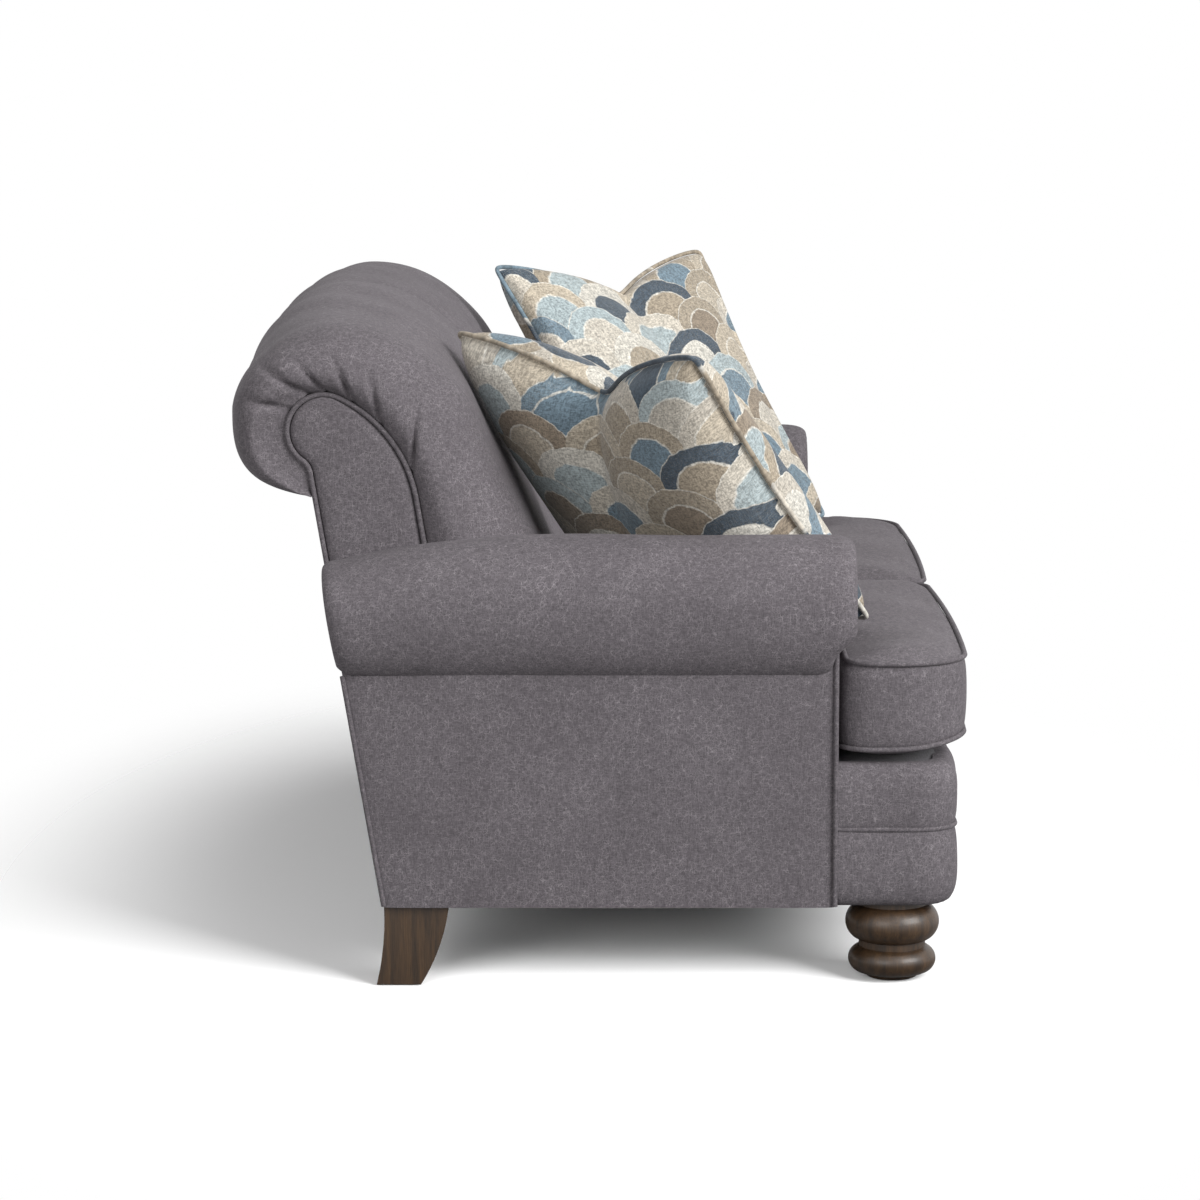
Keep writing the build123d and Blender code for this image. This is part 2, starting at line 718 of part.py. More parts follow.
seat_back_y = back_section(0).bounding_box().min.X
pad_end_x = back_post_x + scroll_board
back_stations = [
    (touch_gap, back_seam_sink),
    (28, 0.04),
    (95, 0.0),
    (350, 0.0),
    (pad_end_x - 105, 0.0),
    (pad_end_x - 62, 0.03),
    (pad_end_x - 30, 0.13),
    (pad_end_x - 10, 0.33),
    (pad_end_x, 0.66),
]
back_pad = loft([side_plane(x) * back_section(sink) for x, sink in back_stations], ruled=True)
back_pad = back_pad - side_prism(scroll_face(sewn_gap, 0), -1, back_post_x + touch_gap)
back_pad = back_pad - side_prism(scroll_face(welt_room, 0), back_post_x - sewn_gap, overall_width)
back_pad = back_pad - front_prism(arm_section(0, sewn_gap), front_y, rear_y)
back_pad = back_pad.solids().sort_by(SortBy.VOLUME)[-1]
save_pair("back_pad", back_pad)
end_low = arm_height + 2 * sewn_gap
save_pair("back_end_panel", side_prism(scroll_face(0, end_low), back_post_x, pad_end_x))
end_welt_x = back_post_x + scroll_board / 2
end_welt = tube(side_plane(end_welt_x) * Wire(scroll_path(welt_radius + touch_gap, end_low)), welt_radius)
save_pair("back_end_welt", end_welt)

outside_top = roll_tuck_height - back_panel_drop
back_edge_x = panel_x - 2 * welt_radius - touch_gap


def back_slab(low, high, half):
    """A raked panel between two heights."""
    outline = [(back_line(low) - panel_thickness, low), (back_line(low), low)]
    outline += [(back_line(high), high), (back_line(high) - panel_thickness, high)]
    return side_prism(polygon(*outline), -half, half)


outside_back = back_slab(base_height, arm_tuck_height, back_edge_x)
outside_back = outside_back + back_slab(arm_tuck_height, outside_top, back_post_x - touch_gap)
save("outside_back_panel", outside_back)
edge_welt_x = panel_x - welt_radius
edge_low = (edge_welt_x, back_line(base_height + 2) - welt_radius, base_height + 2)
edge_high = (edge_welt_x, back_line(outer_panel_top - 2) - welt_radius, outer_panel_top - 2)
edge_welt = rod(edge_low, edge_high, welt_radius)
save("outside_back_welts", edge_welt, mirror(edge_welt, about=Plane.YZ))

# Seat cushions: an L in plan with an ear in front of the arm, crowned above and below the boxing.
cushion_groove = 6
welt_proud = 2 * welt_radius + touch_gap - cushion_groove
lower_welt_z = seat_bottom + cushion_thickness - cushion_boxing - cushion_crown
upper_welt_z = lower_welt_z + cushion_boxing
ear_rear_y = arm_front_y - cushion_clear
cushion_rear_y = seat_back_y - cushion_clear
cushion_radii = [26, ear_corner_radius, 18, 14, 24, 18]


def cushion_path(inset):
    """Plan of the right cushion at one height."""
    middle_x = cushion_gap / 2 + inset
    arm_side_x = arm_inner_x - cushion_clear - inset
    ear_x = panel_x - 2 - inset
    front = front_y + welt_proud + inset
    ear = ear_rear_y - inset
    rear = cushion_rear_y - inset
    points = [(middle_x, front), (ear_x, front), (ear_x, ear)]
    points += [(arm_side_x, ear), (arm_side_x, rear), (middle_x, rear)]
    radii = [max(r - 0.6 * inset, 5) for r in cushion_radii]
    return FilletPolyline(*points, radius=radii, close=True)


def cushion_solid(skin):
    """The cushion's crowned block, smaller all round by a skin."""
    low_crown = lower_welt_z - seat_bottom
    quarter = cushion_boxing / 4
    levels = [
        (seat_bottom + skin, 42),
        (seat_bottom + 0.35 * low_crown + 0.6 * skin, 20),
        (lower_welt_z, cushion_groove),
        (lower_welt_z + quarter, 1.5),
        (lower_welt_z + 2 * quarter, 0),
        (upper_welt_z - quarter, 1.5),
        (upper_welt_z, cushion_groove),
        (upper_welt_z + 0.55 * cushion_crown - 0.6 * skin, 22),
        (seat_top - skin, 50),
    ]
    sections = [Pos(0, 0, z) * make_face(cushion_path(inset + skin).edges()) for z, inset in levels]
    return loft(sections, ruled=True)


cushion_outer = cushion_solid(0)
cushion_shell = cushion_outer - cushion_solid(cushion_cover)
save_pair("cushion_cover", cushion_shell)
save_pair("cushion_core", cushion_solid(cushion_cover + sewn_gap))
cushion_welt_path = cushion_path(cushion_groove - welt_radius - touch_gap)
cushion_welts = [tube(Pos(0, 0, z) * cushion_welt_path, welt_radius) for z in (lower_welt_z, upper_welt_z)]
save("right_cushion_welts", *cushion_welts)
save("left_cushion_welts", *[mirror(w, about=Plane.YZ) for w in cushion_welts])

# Throw pillows: lens sections across, thin at the edges, drawn in at the sides and dented on top.
pillow_half = pillow_size / 2
pillow_stations = [-1, -0.85, -0.6, -0.3, 0, 0.3, 0.6, 0.85, 1]


def pillow_top(share):
    """Height of the top edge above the middle, at a share of the half width."""
    dent = pillow_dent * math.exp(-(share / pillow_dent_share) ** 2)
    return pillow_half - pillow_waist * (1 - share ** 2) - dent


def pillow_low(share):
    """Height of the lower edge, below the middle, at a share of the half width."""
    return -pillow_half + pillow_waist * (1 - share ** 2)


def pillow_solid(skin):
    """The pillow about its own middle, in X and Y with its thickness along Z."""
    sections = []
    for share in pillow_stations:
        reach = pillow_half - skin
        bulge = between(pillow_edge, pillow_bulge, math.sqrt(1 - share ** 2)) - skin
        top = (pillow_top(share) - skin * 3, 0)
        low = (pillow_low(share) + skin * 3, 0)
        middle = (top[0] + low[0]) / 2
        front_face = ThreePointArc(low, (middle, bulge), top)
        rear_face = ThreePointArc(top, (middle, -bulge), low)
        lens = make_face([front_face, rear_face])
        plane = Plane(origin=(share * reach, 0, 0), x_dir=(0, 1, 0), z_dir=(1, 0, 0))
        sections.append(plane * lens)
    return loft(sections, ruled=True)


def pillow_welt_path():
    """The cord's path just outside the pillow's edge."""
    out = pillow_welt_radius + pillow_welt_gap
    top = [(share * pillow_half, pillow_top(share) + out) for share in reversed(pillow_stations[1:-1])]
    low = [(share * pillow_half, pillow_low(share) - out) for share in pillow_stations[1:-1]]
    corner_out = out + pillow_corner_ease
    reach = pillow_half + corner_out
    right = [(reach, pillow_low(1) - corner_out), (reach, pillow_top(1) + corner_out)]
    left = [(-reach, pillow_top(-1) + corner_out), (-reach, pillow_low(-1) - corner_out)]
    points = low + right + top + left
    return FilletPolyline(*points, radius=pillow_corner_radius, close=True)


def pillow_plane(x, y, turn, lean, side):
    """A pillow turned to its corner and leaning back, its middle at floor height."""
    turned = math.radians(turn)
    leaned = math.radians(lean)
    across = (-side * math.cos(turned), math.sin(turned), 0)
    level = (-side * math.sin(turned), -math.cos(turned), 0)
    facing = (level[0] * math.cos(leaned), level[1] * math.cos(leaned), math.sin(leaned))
    x_dir = across if side < 0 else (-across[0], -across[1], 0)
    return Plane(origin=(x, y, 0), x_dir=x_dir, z_dir=facing)


pillow_shape = pillow_solid(0)
pillow_shell = pillow_shape - pillow_solid(pillow_cover)
pillow_fill = pillow_solid(pillow_cover + touch_gap)
pillow_welt = tube(pillow_welt_path(), pillow_welt_radius)
pillow_places = [
    ("left", left_pillow_x, left_pillow_forward, left_pillow_turn, left_pillow_lean, -1),
    ("right", right_pillow_x, right_pillow_forward, right_pillow_turn, right_pillow_lean, 1),
]
for name, x, forward_by, turn, lean, side in pillow_places:
    plane = pillow_plane(x, seat_back_y - forward_by, turn, lean, side)
    lowest = (plane * pillow_welt).bounding_box().min.Z
    place = Pos(0, 0, seat_top + touch_gap - lowest) * plane.location
    save(f"{name}_pillow_cover", place * pillow_shell)
    save(f"{name}_pillow_fill", place * pillow_fill)
    save(f"{name}_pillow_welt", place * pillow_welt)
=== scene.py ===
import math

import bmesh
import bpy
import numpy as np
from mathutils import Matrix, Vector


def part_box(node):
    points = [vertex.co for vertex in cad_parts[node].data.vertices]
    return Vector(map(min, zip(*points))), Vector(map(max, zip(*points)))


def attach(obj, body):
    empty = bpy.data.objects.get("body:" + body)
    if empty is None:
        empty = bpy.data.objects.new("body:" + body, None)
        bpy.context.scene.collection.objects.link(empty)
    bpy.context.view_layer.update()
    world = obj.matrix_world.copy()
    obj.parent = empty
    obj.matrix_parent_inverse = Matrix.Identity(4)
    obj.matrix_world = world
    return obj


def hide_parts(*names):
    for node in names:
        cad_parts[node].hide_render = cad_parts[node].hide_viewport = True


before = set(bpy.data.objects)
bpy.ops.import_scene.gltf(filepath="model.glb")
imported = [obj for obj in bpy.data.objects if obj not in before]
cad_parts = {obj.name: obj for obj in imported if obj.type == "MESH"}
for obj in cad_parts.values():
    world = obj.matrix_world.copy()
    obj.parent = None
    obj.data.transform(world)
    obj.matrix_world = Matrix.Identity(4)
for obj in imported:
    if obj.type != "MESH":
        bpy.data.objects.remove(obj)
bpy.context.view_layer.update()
scene = bpy.context.scene

# Camera and stage: the photo's view of the left side, a pale floor that keeps the shadow and fades to white.
# A large soft light stands to the right of the camera, with weak ones to the left and above and an even sky.
# The floor sends less light back up than it shows, as a large dark room would.
camera_pitch = 8.495
sky_strength = 0.30
floor_half = 40
fade_shares = (0.5, 0.95, 0.0)
fade_start, fade_end = 0.5, 1.1
camera_data = bpy.data.cameras.new("camera")
camera_data.lens = 128.55
camera_data.sensor_width = 36
camera = bpy.data.objects.new("camera", camera_data)
camera.location = (-6.718, -0.003, 1.441)
camera.rotation_euler = (math.radians(90 - camera_pitch), 0, math.radians(-90))
scene.collection.objects.link(camera)
scene.camera = camera
scene.view_settings.view_transform = "Standard"


def linear(hex_colour):
    """An sRGB hex colour as the linear colour that a shader takes."""
    shares = [int(hex_colour[i:i + 2], 16) / 255 for i in (1, 3, 5)]
    return tuple(s / 12.92 if s <= 0.04045 else ((s + 0.055) / 1.055) ** 2.4 for s in shares) + (1,)


def add(tree, kind, inputs=None, out=0, **settings):
    """A shader node with settings, and inputs set to values or linked from sockets; gives one output."""
    node = tree.nodes.new("ShaderNode" + kind)
    for name, value in settings.items():
        setattr(node, name, value)
    for name, value in (inputs or {}).items():
        if isinstance(value, bpy.types.NodeSocket):
            tree.links.new(value, node.inputs[name])
        else:
            node.inputs[name].default_value = value
    return node.outputs[out] if node.outputs else None


def new_material(name):
    """A material with an empty node tree."""
    material = bpy.data.materials.new(name)
    material.use_nodes = True
    material.node_tree.nodes.clear()
    return material, material.node_tree


def softbox(name, place, aim, width, height, power):
    """A rectangular area light at a place, turned to its aim."""
    light = bpy.data.lights.new(name, "AREA")
    light.shape = "RECTANGLE"
    light.size = width
    light.size_y = height
    light.energy = power
    lamp = bpy.data.objects.new(name, light)
    lamp.location = place
    lamp.rotation_euler = (Vector(aim) - Vector(place)).to_track_quat("-Z", "Y").to_euler()
    scene.collection.objects.link(lamp)


world = bpy.data.worlds.new("white studio")
world.use_nodes = True
scene.world = world
sky = world.node_tree
sky.nodes.clear()
rays = add(sky, "LightPath").node.outputs
seen = add(sky, "Math", {0: rays["Is Camera Ray"], 1: rays["Is Glossy Ray"]}, operation="MAXIMUM")
seen = add(sky, "Math", {0: seen, 1: rays["Is Transmission Ray"]}, operation="MAXIMUM")
strength = add(sky, "MapRange", {"Value": seen, "To Min": sky_strength, "To Max": 1.0})
backdrop = add(sky, "Background", {"Color": linear("#ffffff"), "Strength": strength})
add(sky, "OutputWorld", {"Surface": backdrop})
softbox("key", (-4.4, -4.8, 3.6), (0, 0, 0.45), 4.4, 3.4, 560)
softbox("fill", (-6.5, 2.5, 2.6), (0, 0, 0.4), 4.0, 3.0, 160)
softbox("top", (-0.6, -0.8, 4.4), (0, 0, 0.4), 3.0, 3.0, 45)

paper, paper_tree = new_material("pale studio paper")
paper_seen = add(paper_tree, "LightPath", out="Is Camera Ray")
paper_colour = add(paper_tree, "Mix", {"Factor": paper_seen, 6: linear("#8c8c8c"), 7: linear("#f8f8f8")},
                   out=2, data_type="RGBA")
paper_face = add(paper_tree, "BsdfDiffuse", {"Color": paper_colour, "Roughness": 1.0})
floor_place = add(paper_tree, "TexCoord", out="Object")
floor_shares = add(paper_tree, "VectorMath", {0: floor_place, 1: fade_shares}, operation="MULTIPLY")
floor_away = add(paper_tree, "VectorMath", {0: floor_shares}, out="Value", operation="LENGTH")
floor_fade = add(paper_tree, "MapRange", {"Value": floor_away, "From Min": fade_start, "From Max": fade_end},
                 interpolation_type="SMOOTHSTEP")
no_floor = add(paper_tree, "BsdfTransparent")
faded_floor = add(paper_tree, "MixShader", {0: floor_fade, 1: paper_face, 2: no_floor})
add(paper_tree, "OutputMaterial", {"Surface": faded_floor})
floor_mesh = bpy.data.meshes.new("floor")
floor_corners = [(-floor_half, -floor_half, 0), (floor_half, -floor_half, 0),
                 (floor_half, floor_half, 0), (-floor_half, floor_half, 0)]
floor_mesh.from_pydata(floor_corners, [], [(0, 1, 2, 3)])
floor_mesh.materials.append(paper)
floor = bpy.data.objects.new("floor", floor_mesh)
scene.collection.objects.link(floor)

# Feet and rear legs: turned buns in front and sawn swept legs behind, bolted up into the base.
# Stained hardwood under satin lacquer, with the grain upright and dark pores along it.
both_sides = (("left", -1), ("right", 1))


def finish_surface(tree, **inputs):
    """Joins a material's one surface shader to its output; each input is a value or a socket."""
    face = add(tree, "BsdfPrincipled", {name.replace("_", " "): value for name, value in inputs.items()})
    add(tree, "OutputMaterial", {"Surface": face})


def stretched_noise(tree, place, stretch, detail=4.0, roughness=0.6):
    """Noise whose cells have their own size along each axis, given as cells in a metre."""
    scaled = add(tree, "VectorMath", {0: place, 1: stretch}, operation="MULTIPLY")
    return add(tree, "TexNoise", {"Vector": scaled, "Scale": 1.0, "Detail": detail, "Roughness": roughness})


def wood(name, dark, pale, roughness, coat):
    """Wood with upright grain: bands 10 mm wide, pores 1 mm wide that darken it, and lacquer over both."""
    material, tree = new_material(name)
    place = add(tree, "TexCoord", out="Object")
    bands = stretched_noise(tree, place, (95, 95, 6))
    pores = stretched_noise(tree, place, (900, 900, 30), detail=2.0)
    pore_depth = add(tree, "MapRange", {"Value": pores, "From Min": 0.40, "From Max": 0.58})
    tone = add(tree, "MapRange", {"Value": bands, "From Min": 0.30, "From Max": 0.72})
    colour = add(tree, "Mix", {"Factor": tone, 6: linear(dark), 7: linear(pale)}, out=2, data_type="RGBA")
    shade = add(tree, "Mix", {"Factor": 0.38, 6: linear("#ffffff"), 7: pore_depth}, out=2, data_type="RGBA")
    stained = add(tree, "Mix", {"Factor": 1.0, 6: colour, 7: shade}, out=2,
                  data_type="RGBA", blend_type="MULTIPLY")
    bump = add(tree, "Bump", {"Height": pore_depth, "Strength": 0.25, "Distance": 0.0004})
    finish_surface(tree, Base_Color=stained, Roughness=roughness, Coat_Weight=coat, Coat_Roughness=0.22,
                   Normal=bump)
    return material


def dress(node_names, material):
    """Gives CAD nodes a finer material in the slots that they have."""
    for name in node_names:
        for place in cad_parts[name].material_slots:
            place.material = material


stained_wood = wood("stained walnut, satin lacquer", "#25190e", "#503a24", 0.45, 0.2)
dress([f"{side}_{leg}" for side, sign in both_sides for leg in ("bun_foot", "rear_leg")], stained_wood)

# Frame under the upholstery: sawn hardwood rails, posts and blocks, glued and doweled.
# Spring steel wire and its clips, zinc bolts and inserts, and nylon glides under the legs.


def plain(name, pale, dark, metallic, roughness, cells):
    """A metal or plastic finish: grains of 3 mm or so shift its tone and roughness a little."""
    material, tree = new_material(name)
    place = add(tree, "TexCoord", out="Object")
    grain = stretched_noise(tree, place, (cells, cells, cells))
    colour = add(tree, "Mix", {"Factor": grain, 6: linear(dark), 7: linear(pale)}, out=2, data_type="RGBA")
    rough = add(tree, "MapRange", {"Value": grain, "To Min": roughness - 0.1, "To Max": roughness + 0.1})
    bump = add(tree, "Bump", {"Height": grain, "Strength": 0.15, "Distance": 0.0002})
    finish_surface(tree, Base_Color=colour, Metallic=metallic, Roughness=rough, Normal=bump)
    return material


rails = ["front_rail", "rear_rail", "center_rail", "corner_blocks", "seat_back_rail", "lower_back_rail",
         "upper_back_rail", "back_top_rail", "center_back_post"]
side_rails = ("side_rail", "arm_posts", "arm_board", "back_post")
rails += [f"{side}_{rail}" for side, sign in both_sides for rail in side_rails]
dress(rails, wood("sawn hardwood", "#a88a63", "#cdb48c", 0.7, 0.0))
dress(["seat_springs", "seat_spring_ties", "back_springs", "spring_clips"],
      plain("oiled spring steel", "#5c5d60", "#3c3d40", 1.0, 0.4, 300))
dress(["leg_bolts", "leg_inserts"], plain("zinc-plated steel", "#c3c5c8", "#9da0a4", 1.0, 0.3, 260))
dress(["leg_glides"], plain("black nylon", "#26262a", "#1b1b1e", 0.0, 0.5, 400))

# Dust cover: a black spun cloth stapled flat under the rails, sagging slightly between them.
# Its cut runs from rail to rail each way.
cover_low, cover_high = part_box("dust_cover")
cover_lift = 0.0005
cover_sag = 0.004
cover_rows, cover_columns = 30, 60


def surface_mesh(name, grid, material, around=True, caps=True, sharp=40):
    """A smooth mesh from a grid of points, joined round its columns and closed at its ends as asked."""
    rows, columns = grid.shape[:2]
    index = np.arange(rows * columns).reshape(rows, columns)
    left = index if around else index[:, :-1]
    right = np.roll(index, -1, axis=1) if around else index[:, 1:]
    quads = np.stack([left[:-1], right[:-1], right[1:], left[1:]], axis=-1)
    faces = quads.reshape(-1, 4).tolist()
    if caps:
        faces += [index[0, ::-1].tolist(), index[-1].tolist()]
    mesh = bpy.data.meshes.new(name)
    mesh.from_pydata(grid.reshape(-1, 3).tolist(), [], faces)
    shape = bmesh.new()
    shape.from_mesh(mesh)
    bmesh.ops.remove_doubles(shape, verts=shape.verts, dist=1e-6)
    bmesh.ops.recalc_face_normals(shape, faces=shape.faces)
    shape.to_mesh(mesh)
    shape.free()
    mesh.shade_smooth()
    mesh.set_sharp_from_angle(angle=math.radians(sharp))
    mesh.materials.append(material)
    piece = bpy.data.objects.new(name, mesh)
    scene.collection.objects.link(piece)
    return piece


def set_up(piece, body, slot, *nodes):
    """Puts a piece on its CAD body and in place of its CAD nodes; its slot is not used."""
    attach(piece, body)
    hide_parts(*nodes)


def cloth(name, dark, pale, threads):
    """A plain woven cloth: two sets of threads crossing, with uneven tone, given as threads in a metre."""
    material, tree = new_material(name)
    place = add(tree, "TexCoord", out="Object")
    lengthways = stretched_noise(tree, place, (threads, threads / 12, threads), detail=1.0)
    crossways = stretched_noise(tree, place, (threads / 12, threads, threads), detail=1.0)
    weave = add(tree, "Math", {0: lengthways, 1: crossways}, operation="MAXIMUM")
    tone = add(tree, "MapRange", {"Value": weave, "From Min": 0.4, "From Max": 0.7})
    colour = add(tree, "Mix", {"Factor": tone, 6: linear(dark), 7: linear(pale)}, out=2, data_type="RGBA")
    bump = add(tree, "Bump", {"Height": weave, "Strength": 0.4, "Distance": 0.0004})
    finish_surface(tree, Base_Color=colour, Roughness=0.9, Sheen_Weight=0.2, Sheen_Roughness=0.5, Normal=bump)
    return material


across = np.linspace(0, 1, cover_columns)[None, :]
deep = np.linspace(0, 1, cover_rows)[:, None]
sag = cover_sag * np.sin(np.pi * deep) * np.abs(np.sin(2 * np.pi * across))
cover_grid = np.stack(np.broadcast_arrays(
    cover_low.x + (cover_high.x - cover_low.x) * across,
    cover_low.y + (cover_high.y - cover_low.y) * deep,
    cover_low.z + cover_lift - sag,
), axis=-1)
dust_cloth = cloth("black spun cloth", "#151516", "#252528", 900)
dust_cover = surface_mesh("dust_cover_cloth", cover_grid, dust_cloth, around=False, caps=False)
set_up(dust_cover, "frame", "dust_cloth", "dust_cover")

# Deck pad: grey cotton felt under a denim deck cloth, tacked over the seat springs.
# The seat cushions lie on it, so little of it shows.
deck_low, deck_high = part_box("deck_pad")
deck_half = 0.627
deck_step_y = -0.341
deck_step = 0.001


def panel(first_rail, second_rail, outward, thickness, puff=0.0, columns=40):
    """A closed padded panel between two rails: a flat back, and a face that rounds up from its edges.

    The face stands off by the thickness times a rounded edge curve, plus a puff largest in the middle.
    """
    share = 0.5 - 0.5 * np.cos(np.pi * np.linspace(0, 1, columns))
    inward = 1 - np.abs(2 * share - 1)
    along = np.linspace(0, 1, len(first_rail))[:, None]
    rise = thickness * (1 - (1 - inward) ** 8) ** 0.5
    rise = rise + puff * np.sin(np.pi * share) * np.sin(np.pi * along) ** 0.5
    flat = first_rail[:, None] + (second_rail - first_rail)[:, None] * share[None, :, None]
    face = flat + rise[..., None] * np.array(outward)
    return np.concatenate([face, flat[:, -2:0:-1]], axis=1)


deck_depth = np.array([deck_low.y, deck_step_y - deck_step, deck_step_y, deck_high.y])
deck_reach = np.array([deck_high.x, deck_high.x, deck_half, deck_half])
deck_right = np.stack([deck_reach, deck_depth, np.full(4, deck_low.z)], axis=-1)
deck_grid = panel(deck_right * (-1, 1, 1), deck_right, (0, 0, 1), deck_high.z - deck_low.z)
deck = surface_mesh("deck_felt_pad", deck_grid, cloth("grey deck cloth", "#4b484b", "#66636a", 700))
set_up(deck, "frame", "deck_felt", "deck_pad")

# Front border: two padded bands of foam and fabric round the front rail, with a welt sewn between them.
# The bands turn both front corners and end at the arm fronts, with small gathers at the corners.
border_side_x = 0.795
border_front_y, border_rear_y = -0.513, -0.3375
border_corner = 0.062
border_low, border_seam, border_high = 0.116, 0.228, 0.322
seam_depth = 0.008
hem_depth = 0.024
border_depth = 0.036
hem_lap = 0.001
gather_pitch, gather_depth = 0.017, 0.0016
gather_reach, gather_height = 0.035, 0.03
border_uneven, border_uneven_size = 0.0012, 0.16
welt_radius = 0.0036
fabric_dark, fabric_mid, fabric_pale = "#524d51", "#585357", "#b0a9ad"


def upholstery(name, painted_seam_shade=1.0):
    """Grey fabric of short upright and level threads, with a faint network of paler hairlines over them.

    Threads are 2 mm wide, coarser than real so that they show. Two warped cell patterns, 8 and 4 mm across,
    give the hairlines; noise of 9 mm breaks them, and broad noise thins them in patches.
    """
    material, tree = new_material(name)
    place = add(tree, "TexCoord", out="Object")
    drift = add(tree, "TexNoise", {"Vector": place, "Scale": 120.0, "Detail": 3.0}, out="Color")
    offset = add(tree, "VectorMath", {0: drift, 1: (0.5, 0.5, 0.5)}, operation="SUBTRACT")
    warp = add(tree, "VectorMath", {0: offset, 1: (0.009, 0.009, 0.009)}, operation="MULTIPLY")
    warped = add(tree, "VectorMath", {0: place, 1: warp}, operation="ADD")

    def hairlines(cells, width, weight):
        """Lines along the edges of cells, as strong as their weight."""
        edge = add(tree, "TexVoronoi", {"Vector": warped, "Scale": cells}, out="Distance",
                   feature="DISTANCE_TO_EDGE")
        line = add(tree, "MapRange", {"Value": edge, "From Max": width, "To Min": 1.0, "To Max": 0.0},
                   interpolation_type="SMOOTHSTEP")
        return add(tree, "Math", {0: line, 1: weight}, operation="MULTIPLY")

    broad = add(tree, "TexNoise", {"Vector": place, "Scale": 9.0, "Detail": 3.0, "Roughness": 0.6})
    patch = add(tree, "MapRange", {"Value": broad, "From Min": 0.36, "From Max": 0.66, "To Min": 0.6})
    breaks = stretched_noise(tree, place, (110, 110, 110), detail=2.0)
    breaks = add(tree, "MapRange", {"Value": breaks, "From Min": 0.36, "From Max": 0.60, "To Min": 0.15})
    network = add(tree, "Math", {0: hairlines(125.0, 0.045, 0.42), 1: hairlines(260.0, 0.07, 0.28)},
                  operation="MAXIMUM")
    network = add(tree, "Math", {0: network, 1: breaks}, operation="MULTIPLY")
    network = add(tree, "Math", {0: network, 1: patch}, operation="MULTIPLY")
    upright = stretched_noise(tree, place, (520, 520, 110), detail=2.0, roughness=0.7)
    level = stretched_noise(tree, place, (130, 130, 520), detail=2.0, roughness=0.7)
    fleck = add(tree, "Math", {0: upright, 1: level}, operation="ADD")
    tone = add(tree, "MapRange", {"Value": broad, "From Min": 0.3, "From Max": 0.7})
    ground = add(tree, "Mix", {"Factor": tone, 6: linear(fabric_dark), 7: linear(fabric_mid)}, out=2,
                 data_type="RGBA")
    # The seam factor scales the flecked ground colour; below 1 it is painted shade, used for the welt cords.
    fleck_tone = add(tree, "MapRange", {"Value": fleck, "From Min": 0.75, "From Max": 1.25,
                                        "To Min": 0.70 * painted_seam_shade, "To Max": 1.32 * painted_seam_shade})
    flecked = add(tree, "VectorMath", {0: ground, "Scale": fleck_tone}, operation="SCALE")
    veined = add(tree, "Mix", {"Factor": network, 6: flecked, 7: linear(fabric_pale)}, out=2,
                 data_type="RGBA")
    rough = add(tree, "MapRange", {"Value": network, "To Min": 0.92, "To Max": 0.78})
    height = add(tree, "Math", {0: fleck, 1: network}, operation="SUBTRACT")
    bump = add(tree, "Bump", {"Height": height, "Strength": 0.35, "Distance": 0.0006})
    finish_surface(tree, Base_Color=veined, Roughness=rough, Sheen_Weight=0.03, Sheen_Roughness=0.45,
                   Sheen_Tint=linear("#d8d2d6"), Normal=bump)
    return material


def even(points, count, closed=False):
    """Points spaced evenly along a line of points."""
    line = np.concatenate([points, points[:1]]) if closed else points
    distance = np.concatenate([[0], np.cumsum(np.linalg.norm(np.diff(line, axis=0), axis=1))])
    wanted = np.linspace(0, distance[-1], count, endpoint=not closed)
    return np.stack([np.interp(wanted, distance, line[:, axis]) for axis in range(line.shape[1])], axis=-1)


def rounded(corners, radii, count, closed=False):
    """Even points along straight lines, each corner rounded to its radius; a zero radius keeps a corner."""
    corners = np.array(corners, float)
    runs = []
    for i, radius in enumerate(radii):
        here = corners[i]
        if radius == 0:
            runs.append(here[None])
            continue
        back = corners[i - 1] - here
        ahead = corners[(i + 1) % len(corners)] - here
        back = back / np.linalg.norm(back)
        ahead = ahead / np.linalg.norm(ahead)
        half = math.acos(np.clip(back @ ahead, -1, 1)) / 2
        middle = (back + ahead) / np.linalg.norm(back + ahead)
        centre = here + middle * radius / math.sin(half)
        start = here + back * radius / math.tan(half) - centre
        end = here + ahead * radius / math.tan(half) - centre
        turn = math.pi - 2 * half
        share = np.linspace(0, 1, 24)[:, None]
        spoke = (np.sin((1 - share) * turn) * start + np.sin(share * turn) * end) / math.sin(turn)
        runs.append(centre + spoke)
    return even(np.concatenate(runs), count, closed)


def ripple(points, size, seed):
    """Smooth uneven values at points, about -1 to 1: sine waves of about a size in random directions."""
    chance = np.random.default_rng(seed)
    waves = 8
    direction = chance.normal(size=(waves, 3))
    direction /= np.linalg.norm(direction, axis=1, keepdims=True)
    pace = 2 * np.pi / size * chance.uniform(0.6, 1.5, waves)
    phase = chance.uniform(0, 2 * np.pi, waves)
    return np.sin(points @ direction.T * pace + phase).sum(axis=-1) / math.sqrt(waves)


fabric = upholstery("grey crackled upholstery")
# The welt cords are the same fabric with its ground 10% darker: painted shade for the seams they lie in.
welt_fabric_with_painted_shade = upholstery("grey upholstery, welt cord, painted seam shade", painted_seam_shade=0.9)


def cord_mesh(name, path, square_to, material, closed=False):
    """A round cord along a flat path: a circle carried along it, set by the direction square to the path."""
    step = np.roll(path, -1, axis=0) - np.roll(path, 1, axis=0) if closed else np.gradient(path, axis=0)
    ahead = step / np.linalg.norm(step, axis=1, keepdims=True)
    out = np.cross(ahead, np.array(square_to, float))
    out /= np.linalg.norm(out, axis=1, keepdims=True)
    up = np.cross(out, ahead)
    angle = np.linspace(0, 2 * np.pi, 14, endpoint=False)[None, :, None]
    ring = path[:, None] + welt_radius * (np.cos(angle) * out[:, None] + np.sin(angle) * up[:, None])
    if closed:
        ring = np.concatenate([ring, ring[:1]])
    return surface_mesh(name, ring, material, caps=not closed, sharp=70)


